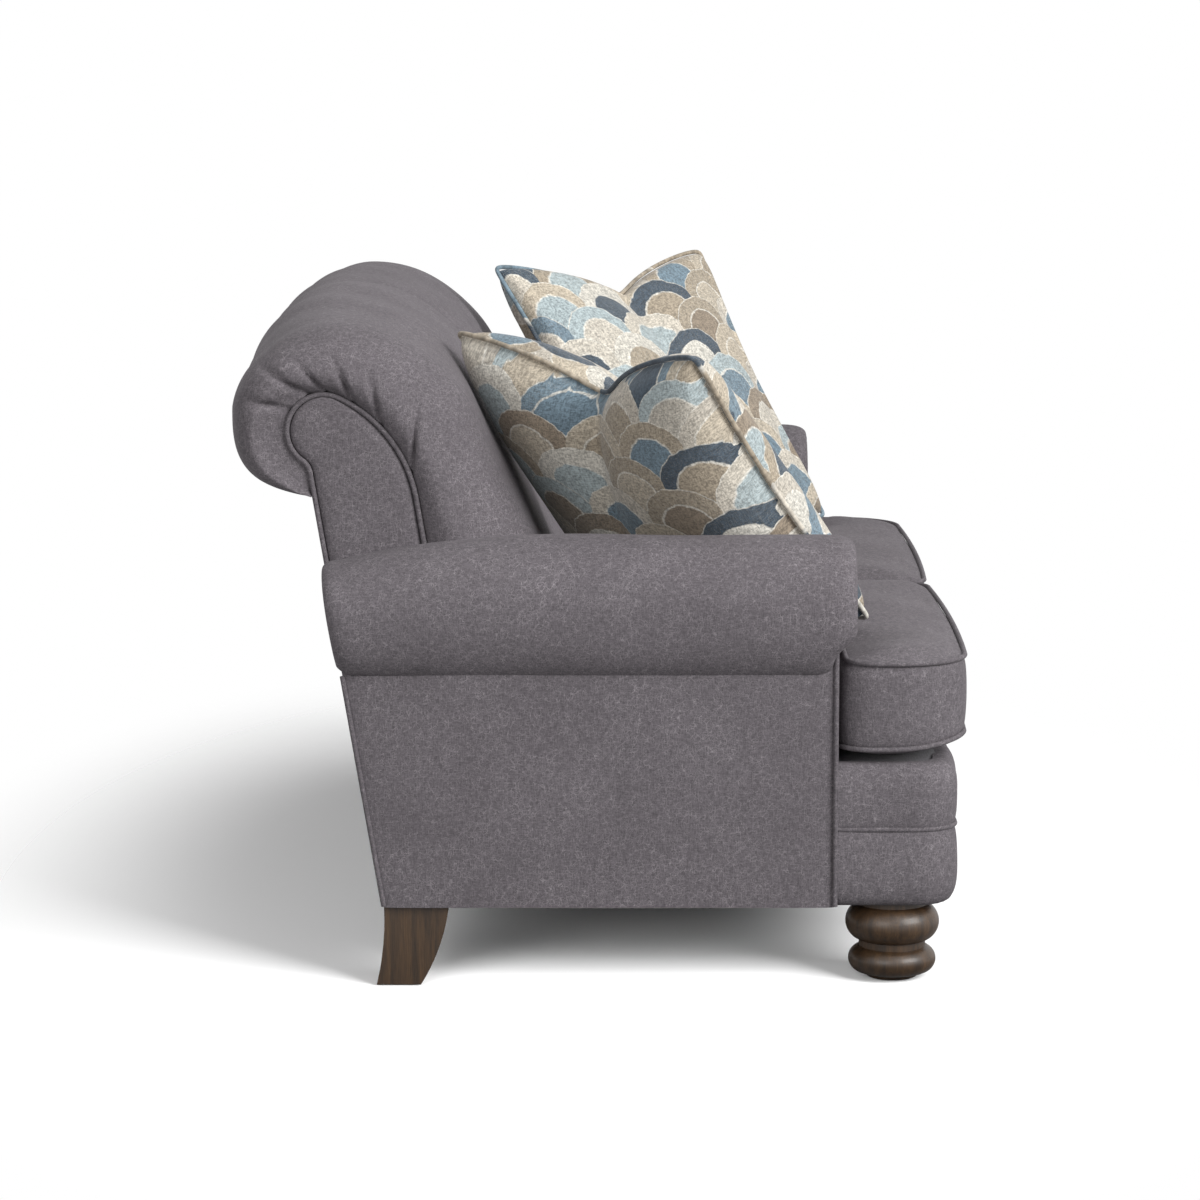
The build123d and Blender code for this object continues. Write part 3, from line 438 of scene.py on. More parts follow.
def welt(name, path, square_to, node, body="frame", closed=False):
    """A sewn fabric welt along a flat path, in place of its CAD node."""
    cord = cord_mesh(name, path, square_to, welt_fabric_with_painted_shade, closed)
    set_up(cord, body, "upholstery_welt", node)


def upholstered(name, grid, node, sharp=40):
    """A padded fabric piece of the frame from a grid of points, in place of its CAD node."""
    piece = surface_mesh(name, grid, fabric, sharp=sharp)
    set_up(piece, "frame", "upholstery", node)


def band_profile(low, high, low_depth, high_depth, count=22, fullness=2.6):
    """One padded band's inset and height from its low edge to its high edge, as a fat rounded curve."""
    turn = np.linspace(-np.pi / 2, np.pi / 2, count)
    rise = np.sign(turn) * np.abs(np.sin(turn)) ** (2 / fullness)
    depth = np.where(turn < 0, low_depth, high_depth)
    inset = depth * (1 - np.abs(np.cos(turn)) ** (2 / fullness))
    return np.stack([inset, (low + high) / 2 + rise * (high - low) / 2], axis=-1)


border_corners = [(-border_side_x, border_rear_y), (-border_side_x, border_front_y),
                  (border_side_x, border_front_y), (border_side_x, border_rear_y)]
border_plan = rounded(border_corners, [0, border_corner, border_corner, 0], 260)
border_way = np.gradient(border_plan, axis=0)
border_way /= np.linalg.norm(border_way, axis=1, keepdims=True)
border_inward = np.stack([-border_way[:, 1], border_way[:, 0]], axis=-1)
border_profile = np.concatenate([
    band_profile(border_low, border_seam, hem_depth, seam_depth),
    band_profile(border_seam, border_high, seam_depth, hem_depth)[1:],
    [(border_depth, border_high - hem_lap), (border_depth, border_low)],
])
corner_middle = (border_side_x - border_corner / 2, border_front_y + border_corner / 2)
corner_away = np.linalg.norm(np.abs(border_plan * (1, 0)) + border_plan * (0, 1) - corner_middle, axis=1)
border_distance = np.linspace(0, 1, len(border_plan)) * 2 * (border_side_x - border_rear_y)
gathers = gather_depth * np.cos(2 * np.pi * border_distance / gather_pitch)
gathers = gathers * np.exp(-(corner_away / gather_reach) ** 2)
from_hem = np.minimum(border_profile[:, 1] - border_low, border_high - border_profile[:, 1])
hem_share = np.clip(1 - from_hem / gather_height, 0, 1)
border_inset = border_profile[None, :, 0] + gathers[:, None] * hem_share[None, :]
border_xy = border_plan[:, None] + border_inward[:, None] * border_inset[..., None]
border_z = np.broadcast_to(border_profile[None, :, 1], border_inset.shape)
border_grid = np.concatenate([border_xy, border_z[..., None]], axis=-1)
border_ripple = border_uneven * ripple(border_grid, border_uneven_size, 3)
border_grid[..., :2] += border_inward[:, None] * border_ripple[..., None]
upholstered("front_border_bands", border_grid, "front_border")
seam_plan = border_plan + border_inward * (seam_depth - welt_radius * 0.8)
seam_path = np.insert(seam_plan, 2, border_seam, axis=1)
welt("front_border_cord", seam_path, (0, 0, 1), "front_border_welt")

# Outside arms: fabric over a thin board on the arm posts, below the roll on each side.
# Each panel is back-tacked under the roll and blind-stitched down its edges.
panel_x = 0.795
panel_thickness = 0.006
panel_rise = 0.005
panel_high = 0.4497
panel_tuck = 0.020
panel_columns = 70
panel_uneven, panel_uneven_size = 0.0007, 0.22
arm_face_y = -0.331
front_lap = 0.003
back_foot_y, back_foot_z = 0.306, 0.116
lean_angle = math.radians(9.6)


def back_line(z):
    """Y of the outside back's face at a height, as it leans back."""
    return back_foot_y + (z - back_foot_z) * math.tan(lean_angle)


panel_levels = np.linspace(border_low, panel_high + panel_tuck, 40)
for side, sign in both_sides:
    inner_x = np.full(len(panel_levels), sign * (panel_x - panel_thickness))
    front_y = np.full(len(panel_levels), arm_face_y - front_lap)
    front_rail = np.stack([inner_x, front_y, panel_levels], axis=-1)
    rear_rail = np.stack([inner_x, back_line(panel_levels) - welt_radius, panel_levels], axis=-1)
    grid = panel(front_rail, rear_rail, (sign, 0, 0), panel_rise, puff=0.001, columns=panel_columns)
    face = grid[:, :panel_columns]
    face[..., 0] += sign * panel_uneven * ripple(face, panel_uneven_size, 11 + sign)
    upholstered(f"{side}_outside_arm", grid, f"{side}_outer_arm_panel")

# Arms: one padded piece of foam and fibre over the arm frame, from the deck up the inside and over the roll.
# The fabric is drawn round the front of the roll and pleated in to the scroll panel.
# Outline points are taken from the roll's middle.
roll_x, roll_z, roll_radius = 0.727, 0.541, 0.098
arm_front_y = -0.363
cap_start_y = -0.318
ring_scale = 0.80
welt_scale = 0.665
welt_y = -0.331
deck_drop = -0.231
inside_top = -0.005
outside_pull = -0.064
tuck = (0.068, -0.091)
core_x = 0.010
inside_count, core_count = 14, 6
cap_count = 16
rear_drop = 0.036
drop_start = 0.55
rear_rounding = 0.026
rear_shrink = 0.16
rear_closing = [0.55, 0.3, 0.0]
rear_stand = 0.003
rear_cover = 0.016
cover_edge_x, cover_edge_width = 0.704, 0.010
front_tuck = 0.030
tuck_top, tuck_height = -0.026, 0.047
tuck_start_y, tuck_length = -0.20, 0.16
arm_pleats = 11
pleat_depth = 0.06
pleat_low_angle, pleat_high_angle = -20, 178
ring_pleat = 0.7
arm_uneven, arm_uneven_size = 0.0013, 0.19


def bend(start, pull, end, count):
    """A curve from start to end, pulled towards a third point."""
    share = np.linspace(0, 1, count)[:, None]
    start, pull, end = np.array(start), np.array(pull), np.array(end)
    return (1 - share) ** 2 * start + 2 * share * (1 - share) * pull + share ** 2 * end


def arc(centre, radius, start, end, count, power=2):
    """Points on an arc between two angles in degrees: two radii make an ellipse, a power over 2 fills it."""
    angle = np.radians(np.linspace(start, end, count))
    spoke = np.stack([np.cos(angle), np.sin(angle)], axis=-1)
    return np.array(centre) + np.array(radius) * np.sign(spoke) * np.abs(spoke) ** (2 / power)


arm_outline = np.concatenate([
    np.linspace((-roll_radius, deck_drop), (-roll_radius, inside_top), inside_count),
    arc((0, 0), roll_radius, 180, 0, 60),
    bend((roll_radius, 0), (roll_radius, outside_pull), tuck, 22)[1:],
    np.linspace(tuck, (core_x, tuck[1]), core_count)[1:],
    [(core_x, deck_drop)],
])
outline_place = np.arange(len(arm_outline))
roll_points = (outline_place >= inside_count) & (outline_place < len(arm_outline) - core_count)
cap_turn = np.linspace(0, np.pi / 2, cap_count)
cap_scale = np.concatenate([ring_scale + (1 - ring_scale) * np.cos(cap_turn) ** 0.75,
                            welt_scale + (ring_scale - welt_scale) * np.cos(cap_turn[1:]) ** 0.9])
cap_y = np.concatenate([cap_start_y - (cap_start_y - arm_front_y) * np.sin(cap_turn) ** 0.75,
                        welt_y - (welt_y - arm_front_y) * (1 - np.sin(cap_turn[1:]) ** 1.6)])
cap_pleat = np.concatenate([ring_pleat * np.linspace(0, 1, cap_count) ** 2,
                            np.linspace(ring_pleat, 1, cap_count - 1)])
rear_turn = np.linspace(0, np.pi / 2, 10)[1:]
rear_scale = np.concatenate([1 - rear_shrink * (1 - np.cos(rear_turn)), rear_closing])
rear_inset = np.concatenate([rear_rounding * (1 - np.sin(rear_turn)), np.zeros(len(rear_closing))])
outline_angle = np.degrees(np.arctan2(arm_outline[:, 1], arm_outline[:, 0]))
pleated = (outline_angle > pleat_low_angle) & (np.abs(outline_angle) <= pleat_high_angle)
pleat_wave = pleated * (0.5 + 0.5 * np.cos(np.radians(outline_angle) * 2 * arm_pleats)) ** 5


def arm_section(scale, draw=1.0, squeeze=1.0):
    """The arm's outline, drawn in to the roll's middle by a scale and a draw, and squeezed to the tuck."""
    x, z = arm_outline.T
    low_share = (deck_drop - tuck[1] * scale) / (deck_drop - tuck[1])
    lifted = np.where(z >= tuck[1], z * scale * draw, deck_drop + (z - deck_drop) * low_share)
    squeezed = np.where(z > tuck[1], tuck[1] + (lifted - tuck[1]) * squeeze, lifted)
    return x * scale * draw, squeezed


def arm_rear(x, z):
    """Y of the arm's rear end: the roll stands proud of the outside back, and the rest lies under it."""
    inside = np.clip((cover_edge_x - roll_x - x) / cover_edge_width, 0, 1)
    return back_line(roll_z + z) + rear_stand - rear_cover * np.where(roll_points, inside, 1)


for side, sign in both_sides:
    rows = []
    for scale, y, pleat in zip(cap_scale[::-1], cap_y[::-1], cap_pleat[::-1]):
        x, z = arm_section(scale, draw=1 - pleat_depth * pleat * pleat_wave)
        rows.append(np.stack([x, np.full_like(x, y), z], axis=-1))
    for share in np.linspace(0, 1, 60)[1:]:
        drop_share = np.clip((share - drop_start) / (1 - drop_start), 0, 1)
        squeeze = 1 - rear_drop / (roll_radius - tuck[1]) * drop_share ** 2
        x, z = arm_section(1, squeeze=squeeze)
        rear = arm_rear(x, z) - rear_rounding
        rows.append(np.stack([x, cap_start_y + (rear - cap_start_y) * share, z], axis=-1))
    for scale, inset in zip(rear_scale, rear_inset):
        x, z = arm_section(scale, squeeze=squeeze)
        rows.append(np.stack([x, arm_rear(x, z) - inset, z], axis=-1))
    grid = np.stack(rows)
    low_share = np.clip((tuck_top - grid[..., 2]) / tuck_height, 0, 1)
    front_share = np.clip((tuck_start_y - grid[..., 1]) / tuck_length, 0, 1)
    grid[..., 1] += front_tuck * front_share * low_share ** 2 * (3 - 2 * low_share)
    grid += arm_uneven * ripple(grid, arm_uneven_size, 21 + sign)[..., None] * np.array([0.6, 0.0, 0.8])
    grid = (grid + (roll_x, 0, roll_z)) * (sign, 1, 1)
    upholstered(f"{side}_rolled_arm", grid, f"{side}_arm_pad")

# Arm fronts: a thin padded scroll panel nailed over the gathered fabric, with a welt round its edge.
# The outer welt runs down past the cushion to the base.
scroll_radius = 0.060
scroll_low = -0.245
scroll_waist = -0.10
scroll_thickness = 0.0045
front_cord_stand = 0.004
cord_end = 0.002
outer_gap = 0.002
outer_reach = panel_x - roll_x - outer_gap
foot_reach = outer_reach - welt_radius
cord_reach = scroll_radius + welt_radius
scroll_edge = even(np.concatenate([
    [(foot_reach, scroll_low), (foot_reach, scroll_waist)],
    arc((0, 0), scroll_radius, 0, 90, 30),
]), 60)
scroll_cord = even(np.concatenate([
    [(outer_reach, border_low + cord_end - roll_z), (outer_reach, scroll_waist)],
    arc((0, 0), cord_reach, 0, 180, 60),
    [(-cord_reach, scroll_low)],
]), 150)


def on_arm_front(line, sign, y):
    """A line round the roll's middle, in x and z, set on one arm's front at a y."""
    return np.insert((line + (roll_x, roll_z)) * (sign, 1), 1, y, axis=1)


for side, sign in both_sides:
    outer_rail = on_arm_front(scroll_edge, sign, arm_face_y)
    inner_rail = on_arm_front(scroll_edge * (-1, 1), sign, arm_face_y)
    grid = panel(inner_rail, outer_rail, (0, -1, 0), scroll_thickness, puff=0.001)
    upholstered(f"{side}_arm_front", grid, f"{side}_arm_front_panel")
    arch = on_arm_front(scroll_cord, sign, arm_face_y - front_cord_stand)
    welt(f"{side}_arm_front_cord", arch, (0, 1, 0), f"{side}_arm_front_welt")

# Back: two padded halves of fibre over the back springs, hooked over the top rail into a roll.
# The fabric is gathered in to a scroll panel at each end, and pulled in at the seam between the halves.
# Outline points are y and z; a share runs along the outline from the tuck under the roll to the seat.
back_roll, back_roll_radius = (0.385, 0.807), 0.138
crest_centre, crest_radius = (0.385, 0.718), 0.227
inside_lean = 24
seat_level = 0.4903
pad_low = 0.3263
pad_inside = [(0.0, 0.2537, pad_low), (0.0, 0.3424, 0.650)]
roll_tuck = (0.404, 0.690)
under_roll, under_roll_power = (0.138, 0.118), 2.9
head, head_radius = (0.387, 0.784), 0.048
neck_radius = 0.030
shoulder_radius = 0.190
post_depth = 0.136
post_gap = 0.0063
pad_end_x = 0.709
end_start_x, end_peak_x, end_seam_x = 0.590, 0.722, 0.703
closing_x = [0.699, 0.695]
inner_end_x = 0.690
seam_lap = 0.0004
near_seam_x, off_seam_x = 0.10, 0.112
welt_room = 0.0075
end_tuck = 0.004
back_columns = 230
pleat_angles = [32, 67, 95, 137, 174, 205]
pleat_starts = np.array([0.50, 0.22, 0.58, 0.54, 0.60, 0.48])
pleat_end = 0.94
pleat_width = 0.0065
pleat_sink, swell_rise = 0.011, 0.004
crown_start_x = 0.12
back_uneven, back_uneven_size = 0.0020, 0.24
along_post = np.array([math.sin(lean_angle), math.cos(lean_angle)])
behind_post = np.array([math.cos(lean_angle), -math.sin(lean_angle)])
post_foot = np.array([back_foot_y - post_gap, back_foot_z])
post_width = post_depth * math.cos(lean_angle)


def scroll_outline(grow, low):
    """The scroll end's outline: from low behind up the neck, round the head and down the front shoulder."""
    offset = np.array(head) - post_foot
    head_up, head_back = offset @ along_post, offset @ behind_post
    neck_up = head_up - math.sqrt((head_radius + neck_radius) ** 2 - (neck_radius - head_back) ** 2)
    shoulder_back = shoulder_radius - post_width
    shoulder_up = head_up - math.sqrt((shoulder_radius - head_radius) ** 2 - (shoulder_back - head_back) ** 2)
    neck = post_foot + neck_up * along_post + neck_radius * behind_post
    shoulder = post_foot + shoulder_up * along_post + shoulder_back * behind_post
    to_head = math.degrees(math.atan2(head[1] - neck[1], head[0] - neck[0]))
    to_shoulder = math.degrees(math.atan2(head[1] - shoulder[1], head[0] - shoulder[0]))
    upright = 180 - math.degrees(lean_angle)
    curves = np.concatenate([
        arc(neck, neck_radius - grow, upright, to_head, 20),
        arc(head, head_radius + grow, to_head - 180, to_shoulder, 60)[1:],
        arc(shoulder, shoulder_radius + grow, to_shoulder, upright, 40)[1:],
    ])
    slope = along_post[0] / along_post[1]
    rear = (curves[0, 0] - (curves[0, 1] - low) * slope, low)
    front = (curves[-1, 0] - (curves[-1, 1] - low) * slope, low)
    return np.concatenate([[rear], curves, [front]])


def outward(grid):
    """Unit normals of a grid of points, away from its middle."""
    normal = np.cross(np.gradient(grid, axis=0), np.gradient(grid, axis=1))
    normal /= np.maximum(np.linalg.norm(normal, axis=-1, keepdims=True), 1e-9)
    middle = grid.reshape(-1, 3).mean(axis=0)
    return normal if (normal * (grid - middle)).sum() > 0 else -normal


face_slope = math.tan(math.radians(inside_lean))
crest_end = arc(crest_centre, crest_radius, 180 - inside_lean, 180 - inside_lean, 1)[0]
seat_y = crest_end[0] - face_slope * (crest_end[1] - seat_level)
roll_outline = np.concatenate([
    [roll_tuck],
    arc(back_roll, under_roll, -80, 0, 40, under_roll_power),
    arc(back_roll, back_roll_radius, 0, 90, 40)[1:],
    arc(crest_centre, crest_radius, 90, 180 - inside_lean, 40)[1:],
    [(seat_y, seat_level), (seat_y, pad_low)],
])
full_line = even(roll_outline, back_columns)
end_line = np.concatenate([scroll_outline(welt_room, roll_tuck[1] + end_tuck)[:-1],
                           scroll_outline(welt_room, pad_low)[-1:]])
end_even = even(end_line, back_columns)
share = np.linspace(0, 1, back_columns)
matched = np.interp(share, [0, 0.33, 0.56, 1], [0, 0.30, 0.58, 1])
end_matched = np.stack([np.interp(matched, share, end_even[:, axis]) for axis in (0, 1)], axis=-1)

# The halves' rows run from the middle seam outwards: flat, then round the end, then closed behind the panel.
flat_x = np.concatenate([np.linspace(seam_lap, near_seam_x, 22),
                         np.linspace(off_seam_x, end_start_x, 46)[:-1]])
quarter = np.linspace(0, 1, 48)
end_turn = quarter * np.pi / 2
end_x = end_start_x + (end_peak_x - end_start_x) * np.sin(end_turn) ** 0.8
end_x -= (end_peak_x - end_seam_x) * np.clip((quarter - 0.80) / 0.20, 0, 1) ** 2
row_x = np.concatenate([flat_x, end_x, closing_x])
end_reach = np.concatenate([np.zeros(len(flat_x)), quarter, np.ones(len(closing_x))])
end_fullness = np.interp(share, [0, 0.15, 0.28, 1], [7.0, 5.0, 2.5, 2.5])
end_sink = 1 - np.clip(np.cos(end_turn), 0, 1)[:, None] ** (2 / end_fullness)[None, :]
row_sink = np.concatenate([np.zeros((len(flat_x), back_columns)), end_sink,
                           np.ones((len(closing_x), back_columns))])
crown_sink = np.clip((row_x - crown_start_x) / (end_start_x - crown_start_x), 0, 1)[:, None] ** 1.6
crown_weight = np.interp(share, [0, 0.17, 0.25, 0.337, 0.50, 0.65, 1], [0, 0.02, 0.15, 0.11, 0.06, 0, 0])
seam_sink = 0.022 * np.exp(-row_x / 0.03) + 0.012 * np.exp(-row_x / 0.09)
seam_weight = np.interp(share, [0, 0.34, 0.48, 0.62, 0.75, 1.0], [0, 0.2, 1.0, 0.8, 0.4, 0.3])
back_sink = row_sink + seam_sink[:, None] * seam_weight + crown_sink * (1 - row_sink) * crown_weight

# Pleats sink along lines from the end panel's welt into the pad, and the fabric swells between them.
end_angle = np.degrees(np.unwrap(np.arctan2(end_matched[:, 1] - head[1], end_matched[:, 0] - head[0])))
pleat_shares = np.interp(pleat_angles, end_angle, share)
pleat_grip = np.clip((end_reach[:, None] - pleat_starts) / (pleat_end - pleat_starts), 0, 1) ** 1.2
pleat_shape = np.exp(-((share[:, None] - pleat_shares) / pleat_width) ** 2)
pleat_field = np.einsum("rp,cp->rc", pleat_grip, pleat_shape)
swell_shares = [pleat_shares[0] - 0.05, *(pleat_shares[:-1] + pleat_shares[1:]) / 2, pleat_shares[-1] + 0.08]
swell_line = np.interp(share, swell_shares, [0, 1, 1, 1, 1, 1, 0])
swell_field = np.clip((end_reach - 0.35) / 0.4, 0, 1)[:, None] * swell_line[None, :]
sewn_in = 1 - 0.75 * np.clip((end_reach - 0.93) / 0.07, 0, 1)[:, None]
gather = (swell_rise * swell_field - pleat_sink * pleat_field) * sewn_in

for side, sign in both_sides:
    outline = full_line[None] + (end_matched - full_line)[None] * back_sink[..., None]
    grid = np.concatenate([np.broadcast_to(row_x[:, None, None], back_sink.shape + (1,)), outline], axis=-1)
    uneven = back_uneven * ripple(grid * (sign, 1, 1), back_uneven_size, 31) * (1 - end_reach)[:, None]
    grid = grid + outward(grid) * (gather + uneven)[..., None]
    grid[0, :, 0] = -seam_lap
    inner = np.broadcast_to([pad_inside], (len(row_x), 2, 3))
    inside = np.concatenate([grid[:, -1:], inner, grid[:, :1]], axis=1)
    inside[..., 0] = np.minimum(row_x, inner_end_x)[:, None]
    grid = np.concatenate([grid, inside], axis=1) * (sign, 1, 1)
    upholstered(f"{side}_back_half", grid, f"{side}_back_pad", sharp=60)

# Back ends: a flat padded scroll panel over each back post, with a welt from the arm round the head and down.
# The panel's foot stands behind the arm.
end_low = 0.575
back_post_x = 0.700
end_cord_sink = 0.003
end_edge = scroll_outline(0, end_low)
end_top = int(np.argmax(end_edge[:, 1]))
for side, sign in both_sides:
    rear_rail = np.insert(even(end_edge[:end_top + 1], 70), 0, sign * back_post_x, axis=1)
    front_rail = np.insert(even(end_edge[end_top:][::-1], 70), 0, sign * back_post_x, axis=1)
    grid = panel(rear_rail, front_rail, (sign, 0, 0), pad_end_x - back_post_x, puff=0.002, columns=50)
    upholstered(f"{side}_back_end", grid, f"{side}_back_end_panel")
    end_cord = even(scroll_outline(welt_radius, end_low), 240)
    end_cord = np.insert(end_cord, 0, sign * (pad_end_x - end_cord_sink), axis=1)
    welt(f"{side}_back_end_cord", end_cord, (1, 0, 0), f"{side}_back_end_welt")

# Outside back: one fabric panel on thin webbing, tacked under the roll and down the rear of both arms.
# A welt runs down each lower edge, where it meets the outside arm.
back_top = 0.684
step_level, step_height = 0.530, 0.0004
wide_half, narrow_half = 0.7895, 0.7045
back_levels = np.concatenate([np.linspace(border_low, step_level, 30),
                              np.linspace(step_level + step_height, back_top, 22)])
back_half = np.where(back_levels <= step_level, wide_half, narrow_half)
right_rail = np.stack([back_half, back_line(back_levels) - panel_thickness, back_levels], axis=-1)
back_grid = panel(right_rail, right_rail * (-1, 1, 1), (0, 1, 0), panel_rise, puff=0.003, columns=90)
upholstered("outside_back", back_grid, "outside_back_panel")
cord_levels = np.linspace(border_low + cord_end, panel_high - cord_end, 60)
for side, sign in both_sides:
    cord_x = np.full_like(cord_levels, sign * (panel_x - welt_radius))
    path = np.stack([cord_x, back_line(cord_levels) - welt_radius, cord_levels], axis=-1)
    welt(f"{side}_outside_back_cord", path, (1, 0, 0), "outside_back_welts")

# Seat cushions: foam in a boxed cover, an L in plan with an ear in front of the arm, welted above and below.
# The cover is sewn, then filled: a short cloth run under pressure bulges it between its seams.
cushion_middle_x, cushion_arm_x, cushion_ear_x = 0.003, 0.626, 0.793
cushion_front_y, cushion_ear_y, cushion_rear_y = -0.5207, -0.366, 0.0322
cushion_radii = [0.040, 0.095, 0.048, 0.014, 0.024, 0.018]
least_radius = 0.004
cushion_bow, bow_start_y, bow_length = 0.010, -0.42, 0.10
cushion_low, cushion_high = 0.3263, 0.4903
lower_seam, upper_seam = 0.3423, 0.4643
seam_inset = 0.005
seam_hold, under_hold, top_margin = 0.0045, 0.008, 0.006
boxing_bulge = 0.0055
front_rise, rise_start_y, rise_length = 0.012, -0.40, 0.12
ear_bulge_levels = [0.326, 0.345, 0.400, 0.448, 0.464, 0.474]
ear_bulge = [0.024, 0.028, 0.029, 0.027, 0.018, 0.0]
cushion_voxel = 0.008
cushion_pressure, cushion_grow = 4.0, 0.012
cushion_uneven, cushion_uneven_size = 0.0015, 0.20


def cushion_plan(inset, z, count=420):
    """The right cushion's plan at a height, smaller all round by an inset: front bowed, ear pressed back."""
    middle_x, arm_x, ear_x = cushion_middle_x + inset, cushion_arm_x - inset, cushion_ear_x - inset
    front, rear = cushion_front_y + inset, cushion_rear_y - inset
    ear = cushion_ear_y + np.interp(z, ear_bulge_levels, ear_bulge) - inset
    corners = [(middle_x, front), (ear_x, front), (ear_x, ear), (arm_x, ear), (arm_x, rear), (middle_x, rear)]
    line = rounded(corners, [max(r - 0.6 * inset, least_radius) for r in cushion_radii], count, closed=True)
    across = (2 * line[:, 0] - middle_x - ear_x) / (ear_x - middle_x)
    front_share = np.clip((bow_start_y - line[:, 1]) / bow_length, 0, 1)
    line[:, 1] -= cushion_bow * (1 - across ** 2) * front_share
    return line


def front_lifted(points):
    """Cushion points with the front's lower edge lifted: most at the lower seam, none above the upper one."""
    low_share = np.clip((upper_seam - points[:, 2]) / (upper_seam - lower_seam), 0, 1)
    front_share = np.clip((rise_start_y - points[:, 1]) / rise_length, 0, 1)
    return points + (front_rise * low_share * front_share ** 2)[:, None] * np.array([0, 0, 1])


def even_voxels(piece, size):
    """Rebuilds a piece's mesh as even small faces."""
    remesh = piece.modifiers.new("even", "REMESH")
    remesh.mode = "VOXEL"
    remesh.voxel_size = size
    remesh.use_smooth_shade = True
    ready = piece.evaluated_get(bpy.context.evaluated_depsgraph_get())
    mesh = bpy.data.meshes.new_from_object(ready)
    mesh.materials.clear()
    mesh.materials.append(piece.data.materials[0])
    piece.modifiers.clear()
    piece.data = mesh


def points_of(mesh):
    """A mesh's points as an array."""
    flat = np.empty(len(mesh.vertices) * 3)
    mesh.vertices.foreach_get("co", flat)
    return flat.reshape(-1, 3)


def fill_cover(piece, held, pressure, furthest, frames=14):
    """Fills a sewn cover by a cloth run under pressure, with held points still and no point moved too far."""
    seam = piece.vertex_groups.new(name="seam")
    seam.add(np.flatnonzero(held).tolist(), 1.0, "REPLACE")
    run = piece.modifiers.new("fill", "CLOTH")
    run.settings.quality = 3
    run.settings.mass = 0.25
    run.settings.tension_stiffness = 12
    run.settings.compression_stiffness = 12
    run.settings.shear_stiffness = 5
    run.settings.bending_stiffness = 0.4
    run.settings.use_pressure = True
    run.settings.uniform_pressure_force = pressure
    run.settings.vertex_group_mass = "seam"
    run.settings.effector_weights.gravity = 0
    run.point_cache.frame_start = 1
    run.point_cache.frame_end = frames
    for step in range(1, frames + 1):
        scene.frame_set(step)
    before = points_of(piece.data)
    after = points_of(piece.evaluated_get(bpy.context.evaluated_depsgraph_get()).data)
    moved = after - before
    length = np.linalg.norm(moved, axis=1, keepdims=True)
    kept = before + moved * np.minimum(1, furthest / np.maximum(length, 1e-9))
    piece.modifiers.clear()
    piece.vertex_groups.clear()
    piece.data.vertices.foreach_set("co", kept.ravel())
    piece.data.update()
    scene.frame_set(1)


def refine(piece):
    """Smooths a filled cover with one subdivision."""
    piece.data.shade_smooth()
    smooth = piece.modifiers.new("smooth", "SUBSURF")
    smooth.levels = 1
    smooth.render_levels = 1


# Each row of the cover is an inset and a height: the underside, the boxing between its seams, and the top.
cushion_rows = np.concatenate([
    [(0.060, cushion_low + 0.001), (0.032, cushion_low + 0.004), (0.014, lower_seam - 0.006)],
    band_profile(lower_seam, upper_seam, boxing_bulge, boxing_bulge, count=16),
    [(0.014, upper_seam + 0.004), (0.030, cushion_high - 0.017), (0.060, cushion_high - 0.012)],
])
for number, (side, sign) in enumerate(both_sides):
    body = f"{side}_seat_cushion"
    rings = [np.insert(cushion_plan(inset, z), 2, z, axis=1) for inset, z in cushion_rows]
    cushion = surface_mesh(f"{side}_seat_cushion_cover", np.stack(rings) * (sign, 1, 1), fabric)
    even_voxels(cushion, cushion_voxel)
    height = points_of(cushion.data)[:, 2]
    near_seam = np.minimum(np.abs(height - lower_seam), np.abs(height - upper_seam)) < seam_hold
    underneath = height < lower_seam - under_hold
    fill_cover(cushion, near_seam | underneath, cushion_pressure, cushion_grow)
    points = points_of(cushion.data)
    on_top = points[:, 2] > upper_seam + top_margin
    points[:, 2] += cushion_uneven * ripple(points, cushion_uneven_size, 41 + number) * on_top
    cushion.data.vertices.foreach_set("co", front_lifted(points).ravel())
    refine(cushion)
    set_up(cushion, body, "upholstery", f"{side}_cushion_cover", f"{side}_cushion_core")
    for name, z in (("lower", lower_seam), ("upper", upper_seam)):
        seam_line = cushion_plan(seam_inset - welt_radius * 0.7, z, 700) * (sign, 1)
        seam_path = front_lifted(np.insert(seam_line, 2, z, axis=1))
        welt(f"{side}_cushion_{name}_cord", seam_path, (0, 0, 1), f"{side}_cushion_welts", body, closed=True)

# Throw pillows: feather and fibre in a printed linen cover, knife-edged with a self welt, dented on top.
# They lean into the corners on the seat cushions. The print is a plain fish-scale pattern of arcs.
pillow_half = 0.270
pillow_waist = 0.017
dent_width = 0.40
corner_ease = 0.037
crease_depth, crease_width = 0.45, 0.16
settle = 0.08
pillow_rest = 0.4900
press_gap = 0.003
pillow_pressure, pillow_grow = 3.0, 0.010
edge_hold = 0.0005
scale_radius = 0.082
scale_row = 0.064
scale_pitch = 0.143
ring_share = 0.62
wrap_share = 0.7
rear_print = (0.37, 0.11, 0.0)
cord_print, cord_print_share = (0.2, 0.15), 0.3
cord_grow = 1.016
linen_palette = ["#b8ad9b", "#8b7e6e", "#a3afb1", "#c4bdb0", "#6c7f8b", "#a09482", "#3f4c58", "#b9b2a6",
                 "#c9c5bb"]


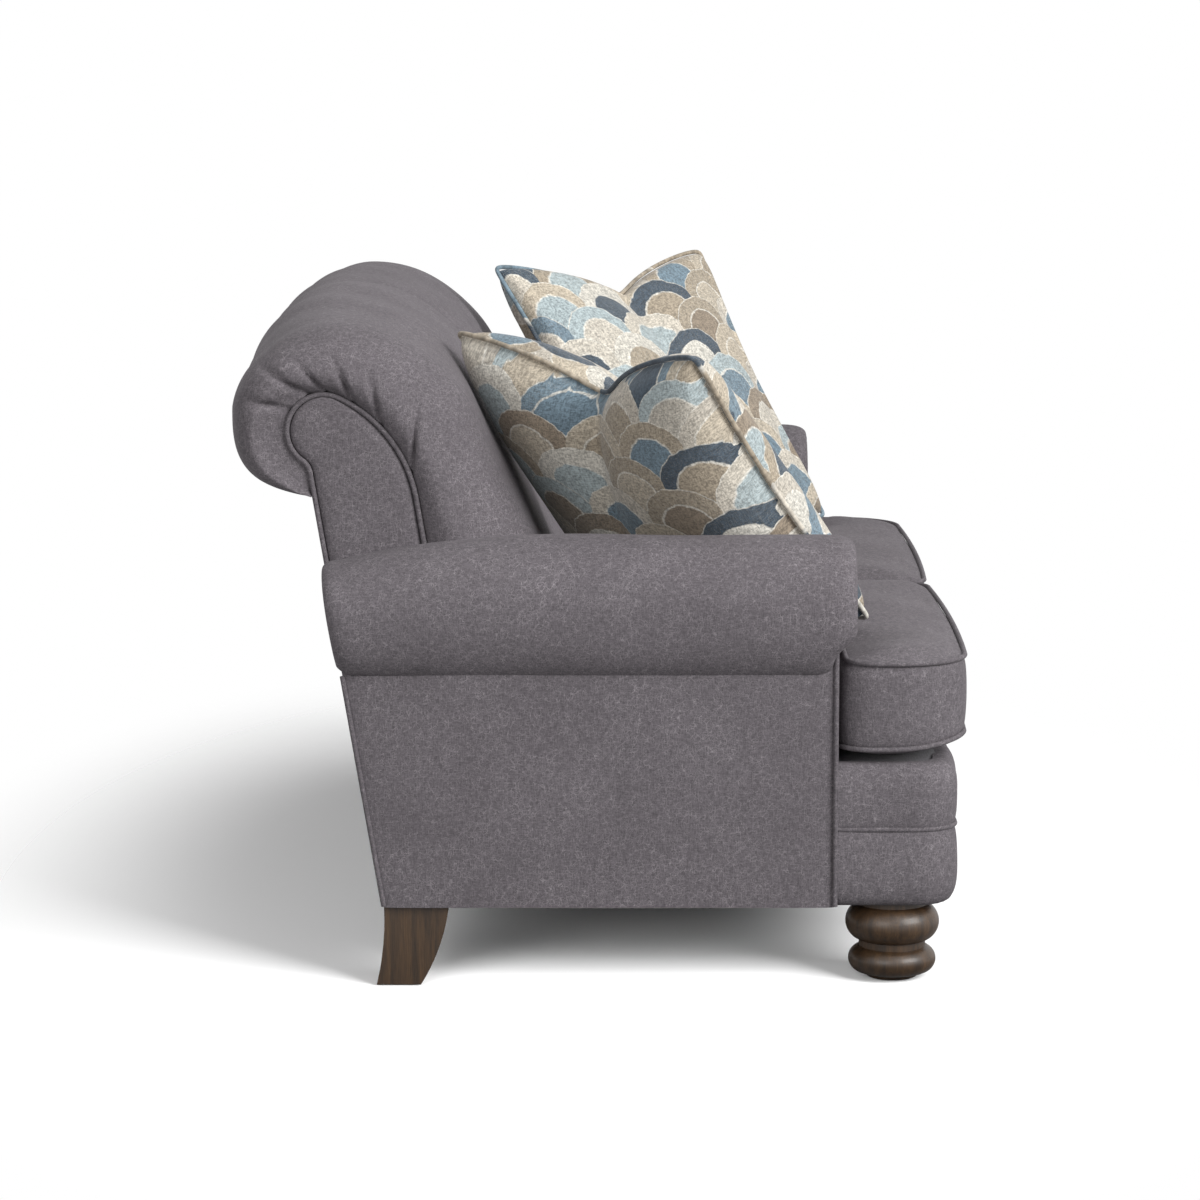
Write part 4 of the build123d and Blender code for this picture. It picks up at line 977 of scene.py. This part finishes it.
def fish_scales(tree, pattern):
    """Overlapping discs in rows, each row half a step along: the share from a disc's middle, and its number.

    Discs of a lower row lie on those above. Three rows can reach a point, so the lowest that does is taken.
    """
    parts = add(tree, "SeparateXYZ", {0: pattern}).node.outputs
    lowest = add(tree, "Math", {0: parts[1], 1: scale_radius}, operation="SUBTRACT")
    lowest = add(tree, "Math", {0: lowest, 1: scale_row}, operation="DIVIDE")
    lowest = add(tree, "Math", {0: lowest}, operation="CEIL")
    shown_share = None
    shown_number = None
    for step in (2, 1, 0):
        row = add(tree, "Math", {0: lowest, 1: float(step)}, operation="ADD")
        odd = add(tree, "Math", {0: row, 1: 2.0}, operation="FLOORED_MODULO")
        shift = add(tree, "Math", {0: odd, 1: scale_pitch / 2}, operation="MULTIPLY")
        local = add(tree, "Math", {0: parts[0], 1: shift}, operation="SUBTRACT")
        middle = add(tree, "Math", {0: local, 1: scale_pitch}, operation="SNAP")
        aside = add(tree, "Math", {0: local, 1: middle}, operation="SUBTRACT")
        aside = add(tree, "Math", {0: aside, 1: scale_pitch / 2}, operation="SUBTRACT")
        level = add(tree, "Math", {0: row, 1: scale_row}, operation="MULTIPLY")
        above = add(tree, "Math", {0: parts[1], 1: level}, operation="SUBTRACT")
        spoke = add(tree, "CombineXYZ", {0: aside, 1: above})
        length = add(tree, "VectorMath", {0: spoke}, out="Value", operation="LENGTH")
        disc = add(tree, "Math", {0: length, 1: scale_radius}, operation="DIVIDE")
        number = add(tree, "CombineXYZ", {0: middle, 1: level, 2: parts[2]})
        if shown_share is None:
            shown_share, shown_number = disc, number
            continue
        inside = add(tree, "Math", {0: disc, 1: 1.0}, operation="LESS_THAN")
        shown_share = add(tree, "Mix", {0: inside, 2: shown_share, 3: disc})
        shown_number = add(tree, "Mix", {0: inside, 4: shown_number, 5: number}, out=1, data_type="VECTOR")
    return shown_share, shown_number


def printed_linen(name):
    """Slubby linen printed with fish scales: each disc in its own colour, with a second ring and outlines.

    Slubs are 2 by 6 mm along both threads, coarser than real so that they show.
    """
    material, tree = new_material(name)
    flat = add(tree, "Attribute", out="Vector", attribute_name="pattern")
    wobble = add(tree, "TexNoise", {"Vector": flat, "Scale": 45.0, "Detail": 3.0}, out="Color")
    wobble = add(tree, "VectorMath", {0: wobble, 1: (0.5, 0.5, 0.5)}, operation="SUBTRACT")
    wobble = add(tree, "VectorMath", {0: wobble, 1: (0.012, 0.012, 0.0)}, operation="MULTIPLY")
    torn = add(tree, "VectorMath", {0: flat, 1: wobble}, operation="ADD")
    disc, number = fish_scales(tree, torn)
    chance = add(tree, "TexWhiteNoise", {"Vector": number}, noise_dimensions="3D").node.outputs
    ring = add(tree, "Math", {0: disc, 1: ring_share}, operation="GREATER_THAN")
    ring_chance = add(tree, "SeparateColor", {0: chance["Color"]}, out=1)
    pick = add(tree, "Mix", {0: ring, 2: chance["Value"], 3: ring_chance})
    palette = add(tree, "ValToRGB", {"Fac": pick}, out="Color")
    palette.node.color_ramp.interpolation = "CONSTANT"
    stops = palette.node.color_ramp.elements
    stops[0].color = linear(linen_palette[0])
    stops.remove(stops[1])
    for i, tint in enumerate(linen_palette[1:], 1):
        stops.new(i / len(linen_palette)).color = linear(tint)
    to_ring = add(tree, "Math", {0: disc, 1: ring_share}, operation="SUBTRACT")
    to_ring = add(tree, "Math", {0: to_ring}, operation="ABSOLUTE")
    to_rim = add(tree, "Math", {0: 1.0, 1: disc}, operation="SUBTRACT")
    nearest = add(tree, "Math", {0: to_ring, 1: to_rim}, operation="MINIMUM")
    outline = add(tree, "MapRange", {"Value": nearest, "From Min": 0.012, "From Max": 0.03,
                                     "To Min": 0.75, "To Max": 0.0})
    inked = add(tree, "Mix", {"Factor": outline, 6: palette, 7: linear("#d9d5cb")}, out=2, data_type="RGBA")
    warp_slub = stretched_noise(tree, flat, (430, 170, 1), detail=1.0)
    weft_slub = stretched_noise(tree, flat, (170, 430, 1), detail=1.0)
    weave = add(tree, "Math", {0: warp_slub, 1: weft_slub}, operation="ADD")
    weave_tone = add(tree, "MapRange", {"Value": weave, "From Min": 0.75, "From Max": 1.25,
                                        "To Min": 0.58, "To Max": 1.25})
    colour = add(tree, "VectorMath", {0: inked, "Scale": weave_tone}, operation="SCALE")
    bump = add(tree, "Bump", {"Height": weave, "Strength": 0.55, "Distance": 0.0009})
    finish_surface(tree, Base_Color=colour, Roughness=0.88, Sheen_Weight=0.15, Sheen_Roughness=0.5,
                   Normal=bump)
    return material


def set_pattern(piece, flat, facing):
    """Keeps each face corner's place on the flat printed cloth; rear faces use another part of it."""
    mesh = piece.data
    corner_point = np.empty(len(mesh.loops), int)
    mesh.loops.foreach_get("vertex_index", corner_point)
    corner_count = np.empty(len(mesh.polygons), int)
    mesh.polygons.foreach_get("loop_total", corner_count)
    first_corner = np.cumsum(corner_count) - corner_count
    turned = np.add.reduceat(facing[corner_point], first_corner) < 0
    place = flat[corner_point] + np.repeat(turned, corner_count)[:, None] * np.array(rear_print)
    attribute = mesh.attributes.new("pattern", "FLOAT_VECTOR", "CORNER")
    attribute.data.foreach_set("vector", place.astype(np.float32).ravel())


def pillow_side(u, v, dent_depth, side_waist, bulge):
    """Points of one side of the pillow, u across and v up from -1 to 1: drawn-in sides, a V dent on top.

    The side is plump in the middle by the bulge, more so low down, closed at the edges, creased at the dent.
    """
    dent = dent_depth * np.exp(-np.sqrt(u ** 2 + 0.004) / dent_width)
    top = pillow_half - pillow_waist * (1 - u ** 2) - dent
    low = -pillow_half + pillow_waist * (1 - u ** 2)
    eased = 1 - corner_ease * np.abs(u * v) ** 8
    y = (low + (top - low) * (v + 1) / 2) * eased
    x = u * (pillow_half - side_waist * (1 - v ** 2)) * eased
    dome = np.clip((1 - np.abs(u) ** 3.1) * (1 - np.abs(v) ** 3.1), 0, 1) ** 0.43
    crease = crease_depth * np.exp(-np.abs(u) / crease_width) * np.clip((v + 0.1) / 1.1, 0, 1) ** 1.2
    z = bulge * dome * (1 - crease) * (1 - settle * v)
    return np.stack([x, y, z], axis=-1)


def pressed(points, sign):
    """Points moved clear of what a pillow leans on: the arm's roll and inner face, the back and the seat."""
    place = points * (sign, 1, 1)
    from_roll = place[:, [0, 2]] - (roll_x, roll_z)
    clear = roll_radius + press_gap
    out = np.maximum(1, clear / np.maximum(np.linalg.norm(from_roll, axis=1, keepdims=True), 1e-6))
    place[:, [0, 2]] = np.where(from_roll[:, 1:] > 0, (roll_x, roll_z) + from_roll * out, place[:, [0, 2]])
    place[:, 0] = np.where(from_roll[:, 1] > 0, place[:, 0], np.minimum(place[:, 0], roll_x - clear))
    face_y = seat_y + face_slope * (place[:, 2] - seat_level) - press_gap
    place[:, 1] = np.where(place[:, 2] < crest_end[1], np.minimum(place[:, 1], face_y), place[:, 1])
    place[:, 2] = np.maximum(place[:, 2], pillow_rest + press_gap)
    return place * (sign, 1, 1)


linen = printed_linen("printed linen, fish scales")
run = np.linspace(-1, 1, 72)
across_share, up_share = np.meshgrid(run, run)
bottom_edge = np.stack([run, -np.ones_like(run)], axis=-1)[:-1]
right_edge = np.stack([np.ones_like(run), run], axis=-1)[:-1]
edge_shares = np.concatenate([bottom_edge, right_edge, -bottom_edge, -right_edge])


def throw_pillow(side, sign, x, y, lift, turn, tilt, dent_depth, side_waist, front_bulge, rear_bulge, shift):
    """A pillow set on its lowest edge, turned into its corner and tilted back, its print moved by a shift."""
    body = f"{side}_throw_pillow"
    turned, tilted = math.radians(turn), math.radians(tilt)
    across_axis = np.array([math.cos(turned), -sign * math.sin(turned), 0])
    facing_axis = np.array([-sign * math.sin(turned) * math.cos(tilted),
                            -math.cos(turned) * math.cos(tilted), math.sin(tilted)])
    axes = np.stack([across_axis, np.cross(facing_axis, across_axis), facing_axis])
    edge = pillow_side(edge_shares[:, 0], edge_shares[:, 1], dent_depth, side_waist, 0)
    lowest = (edge @ axes)[:, 2].min() - welt_radius
    origin = np.array([x, y, pillow_rest + lift - lowest])
    front_side = pillow_side(across_share, up_share, dent_depth, side_waist, front_bulge)
    rear_side = pillow_side(across_share, up_share, dent_depth, side_waist, -rear_bulge)
    both_faces = np.concatenate([front_side[:, ::-1], rear_side], axis=1)
    pillow = surface_mesh(f"{side}_throw_pillow_cover", both_faces @ axes + origin, linen, caps=False)
    local = (points_of(pillow.data) - origin) @ axes.T
    fill_cover(pillow, np.abs(local[:, 2]) < edge_hold, pillow_pressure, pillow_grow)
    local = (points_of(pillow.data) - origin) @ axes.T
    sideways = local[:, 0] ** 4 / (local[:, 0] ** 4 + local[:, 1] ** 4 + 1e-9)
    bulge = np.where(local[:, 2] > 0, front_bulge, rear_bulge)
    wrap = wrap_share * np.clip(bulge - np.abs(local[:, 2]), 0, None)
    flat = np.stack([
        local[:, 0] + np.sign(local[:, 0]) * sideways * wrap + shift[0],
        local[:, 1] + np.sign(local[:, 1]) * (1 - sideways) * wrap + shift[1],
        np.full(len(local), 0.5),
    ], axis=-1)
    set_pattern(pillow, flat, local[:, 2])
    pillow.data.vertices.foreach_set("co", pressed(points_of(pillow.data), sign).ravel())
    refine(pillow)
    set_up(pillow, body, "pillow_fabric", f"{side}_pillow_cover", f"{side}_pillow_fill")
    cord_line = even(edge * (cord_grow, cord_grow, 1), 560, closed=True)
    for _ in range(5):
        cord_line = (np.roll(cord_line, 1, axis=0) + 2 * cord_line + np.roll(cord_line, -1, axis=0)) / 4
    cord = cord_mesh(f"{side}_pillow_cord", cord_line @ axes + origin, facing_axis, linen, closed=True)
    cord_flat = (points_of(cord.data) - origin) @ axes.T * (cord_print_share, cord_print_share, 0)
    cord_flat += (shift[0] + cord_print[0], shift[1] + cord_print[1], 0.5)
    set_pattern(cord, cord_flat, np.ones(len(cord_flat)))
    set_up(cord, body, "pillow_fabric", f"{side}_pillow_welt")


throw_pillow("left", -1, x=-0.493, y=-0.090, lift=0.007, turn=40.0, tilt=40.3, dent_depth=0.110,
             side_waist=0.026, front_bulge=0.088, rear_bulge=0.112, shift=(0.013, 0.021))
throw_pillow("right", 1, x=0.491, y=-0.108, lift=0.004, turn=41.0, tilt=32.5, dent_depth=0.080,
             side_waist=0.040, front_bulge=0.072, rear_bulge=0.086, shift=(0.081, 0.047))
